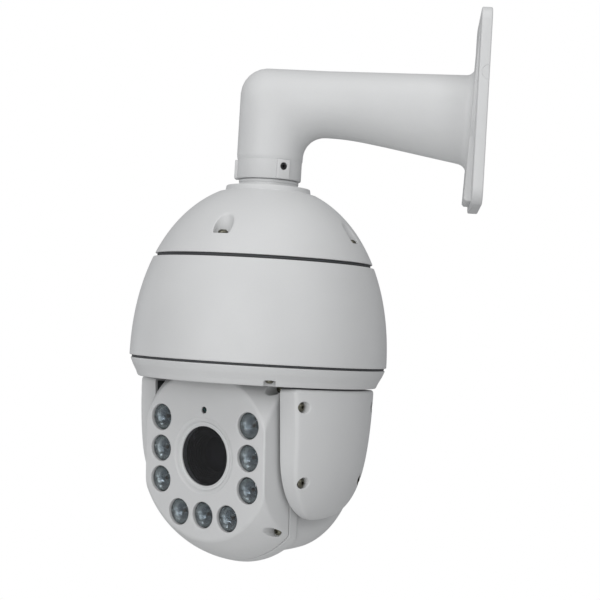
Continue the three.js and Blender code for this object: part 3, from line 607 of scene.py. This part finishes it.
skin = dome_skin(92.4, 149.0, 0, 40)
edge = rounded([(88, 91), (float(dome_radius(91)), 91), skin[0]], {1: 1.1}, steps=4)
crown = rounded([skin[-1], (37.8, 150.2), (37, 154.8), (0, 154.8)], {1: 1.2, 2: 1.1})
top = thing("top_cover_casting", moved(turned([(0, 91)] + edge[:-1] + skin + crown[1:], SIDES), DOME_AT))
hollow = thing("hollow", turned([(0, 90), (88, 90)] + dome_skin(94.5, 148, 3.5, 24) + [(0, 149)], 128))
for azimuth in COVER_AZIMUTHS:
    combine(hollow, spun(shifted(bar(10.7, 80, 152), x=COVER_BOLT_R), azimuth))
combine(top, moved(shape_of(hollow), DOME_AT))
neck_hole = [(0, 140), (20, 140), (20, 154.2), (20.8, 155), (20.8, 160), (0, 160)]
combine(top, moved(turned(neck_hole, 96), DOME_AT))
for azimuth in COVER_AZIMUTHS:
    cutter = pocket(8.2, 107.7, 1.3, dome_height, centre=(COVER_BOLT_R, 0), sides=80)
    combine(top, moved(spun(cutter, azimuth), DOME_AT))
    combine(top, moved(spun(shifted(bar(2.8, 88, 110, 24), x=COVER_BOLT_R), azimuth), DOME_AT))
finish_piece(top, "housing", "paint", ["top_cover"])

foot = rounded([(97, 1), (float(dome_radius(1)), 1), (float(dome_radius(3)), 3)], {1: 0.9}, steps=4)
rim = rounded([(float(dome_radius(87)), 87), (float(dome_radius(88)), 88), (76, 88)], {1: 0.9}, steps=4)
inner = dome_skin(4.5, 84.5, 3.5, 20)[::-1]
shell_profile = foot[:-1] + dome_skin(3, 87, 0, 40) + rim[1:] + [(76, 84.5)] + inner + [(97, 4.5)]
shell = thing("body_shell_casting", moved(turned(shell_profile, SIDES, closed=True), DOME_AT))
finish_piece(shell, "housing", "paint", ["body_shell"])

chin_profile = [(96.5, -17), (105, -17), (107, -12.3), (109.9, -7.1), (112.5, -1), (96.5, -1)]
chin_profile = rounded(chin_profile, {0: 0.8, 1: 1.6, 2: 8, 3: 20, 4: 0.8}, closed=True, steps=6)
chin = thing("chin_ring_casting", moved(turned(chin_profile, SIDES, closed=True), DOME_AT))
for azimuth in CHIN_AZIMUTHS:
    notch = thing("notch", box(99, 114, -5, 5, -22, -12))
    soften(notch, 1.2, 4)
    combine(chin, moved(spun(shape_of(notch), azimuth), DOME_AT))
finish_piece(chin, "housing", "paint", ["chin_ring"])

SEALS = {"cover": (77, 94.3, 88.3, 90.7, 0.9), "chin": (98, 111.4, -0.7, 0.7, 0.5)}
for name, (r0, r1, z0, z1, bead) in SEALS.items():
    profile = rounded([(r0, z0), (r1, z0), (r1, z1), (r0, z1)], {1: bead, 2: bead}, closed=True)
    gasket = thing(f"{name}_seal", moved(turned(profile, SIDES, closed=True), DOME_AT))
    finish_piece(gasket, "housing", "gasket", [f"{name}_gasket"])

neck = rounded([(16, 142), (19.5, 142), (19.5, 155.1), (26.4, 155.1), (26.4, 157.2), (25.9, 157.5),
                (25.9, 158), (26.4, 158.3), (26.4, 160.5), (23.4, 160.5), (23.4, 200), (16, 200)],
               {3: 0.5, 4: 0.2, 7: 0.2, 8: 0.7, 10: 0.8}, closed=True, steps=3)
neck = thing("neck_adapter_turned", moved(turned(neck, 160, closed=True), DOME_AT))
finish_piece(neck, "housing", "paint", ["neck_adapter"])


def screw(name, matrix, body, node_name, head, thick, shank, length, recess):
    """Button-head screw with a hexagon recess; its head stands on z = 0."""
    profile = rounded([(0, -length), (shank, -length), (shank, 0), (head, 0), (head * 0.98, thick * 0.45),
                       (head * 0.55, thick), (0, thick)], {1: 0.4, 3: 0.2, 4: 1.0, 5: 1.0}, steps=4)
    obj = thing(name, turned(profile, 48))
    combine(obj, prism(hexagon(recess), thick * 0.4, thick + 2))
    return finish_piece(placed(obj, matrix), body, "screw", [node_name])


DOWN = Matrix.Rotation(math.pi, 4, "X")
for i, azimuth in enumerate(COVER_AZIMUTHS):
    at = DOME_AT @ Matrix.Rotation(rad(azimuth), 4, "Z") @ Matrix.Translation((COVER_BOLT_R, 0, 108))
    screw(f"cover_bolt_{i + 1}", at, "housing", f"cover_screw_{i + 1}",
          head=4.4, thick=3, shank=2.4, length=29, recess=1.6)
for i, azimuth in enumerate(CHIN_AZIMUTHS):
    at = DOME_AT @ Matrix.Rotation(rad(azimuth), 4, "Z") @ Matrix.Translation((103.5, 0, -12.3)) @ DOWN
    screw(f"chin_bolt_{i + 1}", at, "housing", f"chin_screw_{i + 1}",
          head=3.5, thick=2.4, shank=2, length=22, recess=1.3)


# ---- yoke and its covers: points are (n, u, z), heights from the chin seam ----
COVER_TOP, COVER_BOTTOM = -18.3, -131
COVER_FILLET = 2.6
ARM_SCREWS = [(48, -33, 86.6), (39.5, -96, 84.6)]  # n, z and the height u of the screw's seat
barrel = bezier([(103.5, COVER_TOP), (104, -69), (98.5, -130.5), (70, COVER_BOTTOM)], 400)[::-1]


def barrel_radius(z, inset=0.0):
    return np.interp(z, barrel[:, 1], barrel[:, 0]) - inset


def cover_outline(corner=3.4):
    """Side outline (n, z) of an arm cover, evenly walked."""
    flank = bezier([(50.5, -75), (47, -112), (25, -130.5), (0, COVER_BOTTOM)], 48)
    half = [(55.9, COVER_TOP)] + [tuple(p) for p in flank]
    loop = half + [(-n, z) for n, z in half[-2::-1]]
    loop = rounded(loop, {0: corner, len(loop) - 1: corner}, closed=True, steps=8)
    loop = np.array(loop)
    step = np.linalg.norm(np.roll(loop, -1, 0) - loop, axis=1)
    walked = np.concatenate([[0], np.cumsum(step)])
    at = np.linspace(0, walked[-1], 241)[:-1]
    ring = np.vstack([loop, loop[:1]])
    return np.stack([np.interp(at, walked, ring[:, k]) for k in (0, 1)], 1)


def outline_normals(loop):
    along = np.roll(loop, -1, 0) - np.roll(loop, 1, 0)
    along /= np.linalg.norm(along, axis=1)[:, None]
    out = np.stack([-along[:, 1], along[:, 0]], 1)
    if ((loop - loop.mean(0)) * out).sum() < 0:
        out = -out
    return out


EDGE = cover_outline()
EDGE_OUT = outline_normals(EDGE)


def cover_depth(n, z):
    """Distance of points inside the cover's outline from that outline."""
    n, z = np.asarray(n, float), np.asarray(z, float)
    away = [((n - p[0]) * -o[0] + (z - p[1]) * -o[1]) for p, o in zip(EDGE[::2], EDGE_OUT[::2])]
    return np.maximum(np.min(away, 0), 0)


def cover_surface(n, z):
    """Height u of a cover's skin, with its rounded edge."""
    u = np.sqrt(np.maximum(barrel_radius(z) ** 2 - np.asarray(n) ** 2, 0))
    short = np.maximum(COVER_FILLET - cover_depth(n, z), 0)
    return u - COVER_FILLET + np.sqrt(np.maximum(COVER_FILLET ** 2 - short ** 2, 0))


def cover_solid(inset, fillet, foot):
    """One arm cover as a solid standing on u = foot; points are (n, u, z)."""
    rings = []

    def ring(depth, drop):
        flat = EDGE - EDGE_OUT * (inset + depth)
        u = np.sqrt(np.maximum(barrel_radius(flat[:, 1], inset) ** 2 - flat[:, 0] ** 2, 0)) - drop
        return np.column_stack([flat[:, 0], np.maximum(u, foot + 0.5), flat[:, 1]])

    base = ring(0, fillet)
    for u in ((foot,) if inset else (foot, foot + 0.4)):
        low = base.copy()
        low[:, 1] = u
        if not inset and u == foot:
            low[:, [0, 2]] -= EDGE_OUT * 0.35
        rings.append(low)
    for turn in np.radians(np.linspace(0, 90, 9)):
        rings.append(ring(fillet * (1 - math.cos(turn)), fillet * (1 - math.sin(turn))))
    flat = EDGE - EDGE_OUT * (inset + fillet)
    centre = np.array([0, -70.0])
    for t in (0.96, 0.9, 0.82, 0.72, 0.6, 0.46, 0.3, 0.14, 0.04):
        at = centre + (flat - centre) * t
        u = np.sqrt(barrel_radius(at[:, 1], inset) ** 2 - at[:, 0] ** 2)
        rings.append(np.column_stack([at[:, 0], u, at[:, 1]]))
    return lofted(rings)


for name, turn in (("left", 0), ("right", 180)):
    at = YOKE_AT @ Matrix.Rotation(rad(turn), 4, "Z")
    cover = thing(f"{name}_arm_cover_casting", cover_solid(0, COVER_FILLET, 70.5))
    inner = thing("inner", cover_solid(3.0, 1.5, 60))
    for n, z, seat in ARM_SCREWS:
        for way in (-1, 1):
            combine(inner, moved(bar(6.4, -110, -74.3), Matrix.Translation((way * n, 0, z)) @ STAND))
    combine(cover, shape_of(inner))
    combine(cover, box(-41, 41, 60, 74.5, -30, -17))
    for n, z, seat in ARM_SCREWS:
        for way in (-1, 1):
            combine(cover, across(pocket(4.8, seat, 0.7, cover_surface, centre=(way * n, z), sides=64)))
    finish_piece(placed(cover, at), "pan_unit", "paint", [f"{name}_arm_cover"])
    for i, (n, z, seat) in enumerate(ARM_SCREWS):
        for k, way in enumerate((1, -1)):
            place = at @ Matrix.Translation((way * n, seat + 0.3, z)) @ U_AXIS
            number = 2 * i + k + 1
            screw(f"{name}_arm_bolt_{number}", place, "pan_unit", f"{name}_cover_screw_{number}",
                  head=4.3, thick=2.6, shank=2, length=seat - 71.8, recess=1.6)

frame_outline = [tuple(p) for p in (EDGE - EDGE_OUT * 3.4)[::3]]
yoke = thing("yoke_casting", box(-40, 40, -74, 74, 33, 37))
soften(yoke, 0.8, 3)
for turn in (0, 180):
    cheek = thing("cheek", across(prism(frame_outline, 71, 74)))
    combine(cheek, box(-39.9, 39.9, 71, 73.9, -40, 36.5), "UNION")
    combine(cheek, moved(bar(13.5, -80, -60), Matrix.Translation((0, 0, TILT_Z)) @ STAND))
    soften(cheek, 0.5, 2)
    combine(yoke, spun(shape_of(cheek), turn), "UNION")
combine(yoke, bar(8, 20, 50))
finish_piece(placed(yoke, YOKE_AT), "pan_unit", "frame_alloy", ["yoke_frame"])


# ---- head: points are (n, u, v), cut from a ball about the tilt axis ----
BALL_R, HALF_WIDTH, FACE_N, REAR_N = 98.4, 67.2, 66.5, 32.4
SENSOR_V = 39.3
COLUMN = [29.7, 2.7, -24.3]
LAMPS = {"left": [(-48.85, v) for v in COLUMN], "right": [(48.85, v) for v in COLUMN],
         "bottom": [(u, -50.5) for u in (-27.2, 0, 27.2)]}
BEZEL_SCREWS = [(61.5, -60), (-61.5, -60), (61.5, 60), (-61.5, 60)]


def head_piece(obj, slot, nodes=(), mat=None, angle=32):
    return finish_piece(placed(obj, HEAD_AT), "head", slot, nodes, mat, angle)


def bezel_distance(p, inset=0.0):
    """Signed distance of the bezel's outside: a ball cut flat in front and at both sides."""
    ball = np.linalg.norm(p, axis=1) - (BALL_R - inset)
    front = rounded_meet([ball, p[:, 0] - (FACE_N - inset)], 1.5)
    return rounded_meet([front, np.abs(p[:, 1]) - (HALF_WIDTH - inset)], 1.6)


def bezel_solid(inset, rear, columns, rows):
    """The bezel's skin, seen out from its rear centre; rows counts its face, its face edge and its flank."""
    beta = np.arange(columns) * 2 * math.pi / columns
    cb, sb = np.cos(beta), np.sin(beta)
    origin = np.array([REAR_N, 0, 0])
    edge_r = np.minimum(math.sqrt(BALL_R ** 2 - FACE_N ** 2), HALF_WIDTH / np.maximum(np.abs(cb), 1e-6))
    edge = np.arctan2(edge_r, FACE_N - REAR_N)
    face_rows, edge_rows, flank_rows = rows
    wide = 0.04
    face = np.linspace(0.02, 1, face_rows)[:, None] * (edge - wide)
    band = edge + np.linspace(-wide, wide, edge_rows)[1:-1, None]
    flank = (edge + wide) + np.linspace(0, 1, flank_rows)[:, None] * (rad(89.6) - edge - wide)
    points = []
    for gamma in list(face) + list(band) + list(flank):
        way = np.stack([np.cos(gamma), np.sin(gamma) * cb, np.sin(gamma) * sb], 1)
        dist = reach(lambda p: bezel_distance(p, inset), origin, way, 130)
        points.append(origin + way * dist[:, None])
    last = points[-1].copy()
    last[:, 0] = rear
    if not inset:
        points[-1][:, 0] = rear + 0.5
        last[:, 1:] *= 1 - 0.5 / np.linalg.norm(last[:, 1:], axis=1)[:, None]
    return lofted(points + [last])


def bezel_surface(u, v):
    """Height n of the bezel's skin over (u, v)."""
    start = np.stack([np.full_like(u, 20.0), u, v], 1)
    way = np.tile(np.array([1.0, 0, 0]), (len(u), 1))
    return 20 + reach(bezel_distance, start, way, 60)


def along_n(shape, u=0, v=0):
    """A shape made along z, laid along the head's n axis at (u, v): its x becomes u and its y becomes v."""
    points, faces = shape
    points = np.asarray(points, float)
    return np.column_stack([points[:, 2], points[:, 0] + u, points[:, 1] + v]), faces


bezel = thing("bezel_casting", bezel_solid(0, REAR_N, 320, (26, 22, 34)))
inner = thing("inner", bezel_solid(3.5, 30, 128, (14, 10, 14)))
for u, v in BEZEL_SCREWS:
    combine(inner, along_n(bar(7.2, 20, 75), u, v))
combine(bezel, shape_of(inner))
window_mouth = [(0, 50), (29.3, 50), (29.3, 65.35), (30.6, 65.35), (31.6, 65.5), (32.4, 65.8), (33.0, 66.25),
                (33.5, 66.6), (33.5, 75), (0, 75)]
combine(bezel, along_n(turned(window_mouth, 160)))
lamp_mouth = [(0, 50), (11.4, 50), (11.4, 65.9), (11.5, 66.2), (11.7, 66.4), (12.0, 66.52), (12.0, 72),
              (0, 72)]
for u, v in [place for group in LAMPS.values() for place in group]:
    combine(bezel, along_n(turned(lamp_mouth, 96), u, v))
sensor_mouth = [(0, 50), (2.9, 50), (2.9, 66.1), (3.3, 66.52), (3.3, 72), (0, 72)]
combine(bezel, along_n(turned(sensor_mouth, 48), 0, SENSOR_V))
for u, v in BEZEL_SCREWS:
    combine(bezel, along_n(pocket(4.6, 39, 0.8, bezel_surface, centre=(u, v), sides=64)))
head_piece(bezel, "paint", ["front_bezel"])
for i, (u, v) in enumerate(BEZEL_SCREWS):
    at = HEAD_AT @ Matrix.Translation((39.3, u, v)) @ X_AXIS
    screw(f"bezel_bolt_{i + 1}", at, "head", f"bezel_screw_{i + 1}",
          head=3.7, thick=2.6, shank=1.9, length=17.3, recess=1.4)


def belly_distance(p, inset):
    """Barrel of revolution about the tilt axis, with ends rounded to 19."""
    side, rho = np.abs(p[:, 1]), np.hypot(p[:, 0], p[:, 2])
    end = np.hypot(np.maximum(side - 46.1, 0), np.maximum(rho - 62.3, 0)) - (19 - inset)
    return np.where(side > 52, end, rho - (89 - inset - 0.0032 * side ** 2))


def back_distance(p, inset=0.0):
    """The belly, blended into the flange that meets the bezel; the hollow inside is the belly alone."""
    belly = belly_distance(p, inset)
    if inset:
        return belly
    flange = rounded_meet([np.linalg.norm(p, axis=1) - BALL_R, np.abs(p[:, 1]) - HALF_WIDTH], 1.6)
    flange = rounded_meet([flange, 20.5 - p[:, 0]], 1.2)
    gap = np.clip(0.5 + 0.5 * (belly - flange) / 3.0, 0, 1)
    return belly * (1 - gap) + flange * gap - 3.0 * gap * (1 - gap)


def back_solid(inset, front, columns, rows):
    """The back shell's skin, seen out from the tilt axis; rows counts its flange and the rest."""
    beta = np.arange(columns) * 2 * math.pi / columns
    cb, sb = np.cos(beta), np.sin(beta)
    around = np.stack([np.zeros(columns), cb, sb], 1)
    lip = front - (0 if inset else 0.5)
    start = np.tile(np.array([lip, 0, 0]), (columns, 1))
    rim = reach(lambda p: back_distance(p, inset), start, around, 130)
    first = np.arctan2(rim, lip)
    near, far = rows
    share = np.concatenate([np.linspace(0, 0.16, near), np.linspace(0.16, 0.985, far)[1:]])
    points = []
    if not inset:
        flat = start + around * (rim - 0.5)[:, None]
        flat[:, 0] = front
        points.append(flat)
    for t in share:
        gamma = first + (math.pi - first) * t
        way = np.stack([np.cos(gamma), np.sin(gamma) * cb, np.sin(gamma) * sb], 1)
        points.append(way * reach(lambda p: back_distance(p, inset), np.zeros(3), way, 130)[:, None])
    return lofted(points)


back = thing("back_shell_casting", back_solid(0, 31.2, 256, (34, 60)))
inner = thing("inner", back_solid(3.5, 34, 96, (8, 30)))
for h0, h1 in ((-68, -57), (57, 68)):
    combine(inner, moved(bar(12, h0, h1), STAND))
combine(back, shape_of(inner))
axle = rounded([(0, 60), (6, 60), (6, 79), (0, 79)], {2: 0.6})
combine(back, moved(turned(axle, 48), STAND), "UNION")
combine(back, moved(bar(6.3, -70, -50), STAND))
head_piece(back, "paint", ["back_shell"])


def flat_sided(r, half, count=160):
    """A circle cut off at both sides, at x = half and -half."""
    a = np.arange(count) * 2 * math.pi / count
    size = np.minimum(r, half / np.maximum(np.abs(np.cos(a)), 1e-6))
    return np.stack([size * np.cos(a), size * np.sin(a)], 1)


seal = thing("head_seal", along_n(prism(flat_sided(92, 65.6), 31.4, 32.1)))
combine(seal, along_n(prism(flat_sided(84, 60), 28, 35)))
for u, v in BEZEL_SCREWS:
    combine(seal, along_n(bar(4, 28, 35, 24), u, v))
head_piece(seal, "gasket", ["head_gasket"])

# window and lens
ring = [(25.5, 58), (29.24, 58), (29.24, 66.3), (27.2, 66.3), (26.5, 65.5), (25.5, 65.2)]
ring = rounded(ring, {2: 0.5, 3: 0.5, 4: 0.4, 5: 0.35}, closed=True, steps=4)
head_piece(thing("window_bezel", along_n(turned(ring, 160, closed=True))), "window_ring", ["window_ring"])
pane = [(0, 62.2), (12, 62.2), (25.2, 62.2), (25.2, 64.1), (24.9, 64.4), (18, 64.4), (9, 64.4), (0, 64.4)]
head_piece(thing("window_pane", along_n(turned(pane, 128))), "window_glass", ["window_glass"])
hood = [(19, 44.3), (22, 44.3), (22, 60), (20.6, 60), (20.6, 59), (19.6, 59), (19.6, 57.4), (18.4, 57.4),
        (18.4, 55.6), (17.2, 55.6), (17.2, 53.6), (16.2, 53.6), (16.2, 51.2), (15.2, 51.2), (15.2, 48),
        (19, 48)]
hood = thing("lens_hood", along_n(turned(hood, 128, closed=True)))
head_piece(hood, "black_plastic", ["lens_barrel"], angle=25)
GLASS_R, GLASS_TOP, GLASS_CROWN = 14.8, 50.6, 4.2
glass = [(GLASS_R * k / 12, GLASS_TOP - GLASS_CROWN * (k / 12) ** 2) for k in range(13)]
glass += [(GLASS_R, 44.6), (8, 44.2), (0, 44)]
head_piece(thing("front_element", along_n(turned(glass, 96))), "window_glass", mat=coated)
cell = rounded([(0, 4), (18, 4), (18, 18), (14.6, 18), (14, 17), (11, 17.5)], {1: 0.6, 2: 0.8}, steps=3)
cell += [(7, 18.6), (3, 19.2), (0, 19.4)]
cell = placed(thing("zoom_cell_turned", along_n(turned(cell, 96))), HEAD_AT)
finish_piece(cell, "zoom_cell", "black_plastic", ["zoom_group"])

# lamps: a moulded strip of three lenses, and behind each lens a reflector and its emitter
CROWN_R, CROWN_FOOT, CROWN_RISE = 10.8, 63.85, 1.75
LENS = [(0, 58.5), (11.2, 58.5), (11.2, 63.2), (11.08, 63.55), (CROWN_R, CROWN_FOOT)]
LENS += [(CROWN_R * k / 20, CROWN_FOOT + CROWN_RISE * (1 - (k / 20) ** 2)) for k in range(19, -1, -1)]
HOLLOW = [(0, 56), (3.2, 56), (3.2, 57.9), (4.9, 58.3), (6.9, 59.2), (8.9, 60.6), (10.5, 62.0),
          (10.5, 63.0), (10.2, 63.2), (9, 63.8), (6, 64.5), (3, 64.9), (0, 65.0)]
CUP = [(0, 57.6), (3, 57.6), (4.8, 58.1), (6.8, 59.1), (8.8, 60.6), (10.2, 62.3), (10.3, 62.9),
       (10.45, 62.9), (10.45, 62.2), (8.9, 60.2), (6.9, 58.6), (5, 57.3), (3.4, 56.3), (0, 56.1)]
CHIP = [(0, 57.7), (1.7, 57.7), (1.7, 58.2), (1.3, 58.9), (0.7, 59.3), (0, 59.4)]
STRIP_EDGE = 11.8  # from the outer lamps' centres
for name, places in LAMPS.items():
    (u0, v0), (u1, v1) = np.min(places, 0) - STRIP_EDGE, np.max(places, 0) + STRIP_EDGE
    outline = [(u0, v0), (u1, v0), (u1, v1), (u0, v1)]
    strip = thing(f"{name}_lamp_lens_strip", along_n(prism(outline, 57.5, 59.5)))
    soften(strip, 0.4, 2)
    for i, (u, v) in enumerate(places):
        combine(strip, along_n(turned(LENS, 96), u, v), "UNION")
        combine(strip, along_n(turned(HOLLOW, 64), u, v))
        cup = thing(f"reflector_{name}_{i + 1}", along_n(turned(CUP, 64), u, v))
        head_piece(cup, "steel", mat=silver)
        chip = thing(f"emitter_{name}_{i + 1}", along_n(turned(CHIP, 32), u, v))
        head_piece(chip, "lamp_lens", mat=emitter)
    head_piece(strip, "lamp_lens", [f"{name}_lamp_lenses"])

eye = [(0, 52), (2.6, 52), (2.6, 65.2), (2.3, 65.7), (1.6, 66.0), (0.8, 66.1), (0, 66.1)]
eye = thing("light_sensor_lens", along_n(turned(eye, 40), 0, SENSOR_V))
head_piece(eye, "sensor_lens", ["light_sensor"])

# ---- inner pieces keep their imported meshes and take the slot's material ----
for name, obj in frame["nodes"].items():
    if obj.hide_render or obj.type != "MESH":
        continue
    slot_name = obj.material_slots[0].name.split(".")[0] if obj.material_slots else ""
    mat = SLOTS.get(slot_name)
    if mat:
        for s in obj.material_slots:
            s.material = mat

# ---- studio ----
floor_mat, tree, shader = material("floor", (0.80, 0.80, 0.79), 0.85)
floor_tone = ramp(tree, noise(tree, 3, 3), (0.78, 0.78, 0.775), (0.83, 0.83, 0.825))
tree.links.new(floor_tone, shader.inputs["Base Color"])
bumped(tree, shader, (noise(tree, 200, 2), 0.05, 0.2))
floor = thing("floor", turned([(0, -1010), (2990, -1010), (3000, -1005), (2990, -1000), (0, -1000)], 96))
floor.data.materials.append(floor_mat)

world = bpy.data.worlds.new("studio")
bpy.context.scene.world = world
world.use_nodes = True
tree = world.node_tree
tree.nodes.clear()
seen = node(tree, "ShaderNodeBackground", Color=(1, 1, 1, 1), Strength=1.0)
lit = node(tree, "ShaderNodeBackground", Color=(0.97, 0.98, 1.0, 1), Strength=0.36)
path = node(tree, "ShaderNodeLightPath")
mix = node(tree, "ShaderNodeMixShader",
           {0: path.outputs["Is Camera Ray"], 1: lit.outputs[0], 2: seen.outputs[0]})
node(tree, "ShaderNodeOutputWorld", {"Surface": mix.outputs[0]})

CENTRE = Vector((0, -0.15, -0.2))


def area(name, place, aim, size, watts, colour=(1, 1, 1)):
    data = bpy.data.lights.new(name, "AREA")
    data.shape, data.size, data.size_y = "RECTANGLE", *size
    data.energy, data.color = watts, colour
    obj = bpy.data.objects.new(name, data)
    obj.location = place
    obj.rotation_euler = (Vector(aim) - Vector(place)).to_track_quat("-Z", "Y").to_euler()
    bpy.context.collection.objects.link(obj)


area("top", (0.6, 0.1, 1.3), CENTRE, (1.2, 1.2), 7, (1.0, 0.995, 0.985))
area("key", (2.2, -0.6, 0.2), CENTRE, (1.4, 1.4), 11.3)
area("left", (-0.83, -1.43, -0.3), (0.02, -0.25, -0.31), (0.15, 0.9), 1.0, (0.95, 0.98, 1.0))
area("catch", (1.45, -1.25, 0.05), CENTRE, (0.22, 0.22), 3.5)
area("low", (1.3, 0.0, -0.95), CENTRE, (1.2, 1.0), 4.4)
area("root", (0.5, -0.6, 0.6), (0, -0.02, 0.02), (0.3, 0.3), 1.3)
area("side", (0.7, 0.5, 0.25), (0.06, 0, 0.03), (0.3, 0.3), 0.9)

# ---- camera ----
CAMERA_AT = (1.37075, -0.05043, -0.19932)
CAMERA_ROLL = rad(3.353)
forward = Vector((-0.99702, -0.07467, 0.01960)).normalized()
right = forward.cross(Vector((0, 0, 1))).normalized()
up = right.cross(forward)
c, s = math.cos(CAMERA_ROLL), math.sin(CAMERA_ROLL)
right, up = c * right + s * up, -s * right + c * up
lens = bpy.data.cameras.new("camera")
lens.lens, lens.sensor_width = 93.33, 36
camera = bpy.data.objects.new("camera", lens)
spin = Matrix((right, up, -forward)).transposed().to_4x4()
camera.matrix_world = Matrix.Translation(CAMERA_AT) @ spin
bpy.context.collection.objects.link(camera)
bpy.context.scene.camera = camera
bpy.context.scene.view_settings.view_transform = "Standard"
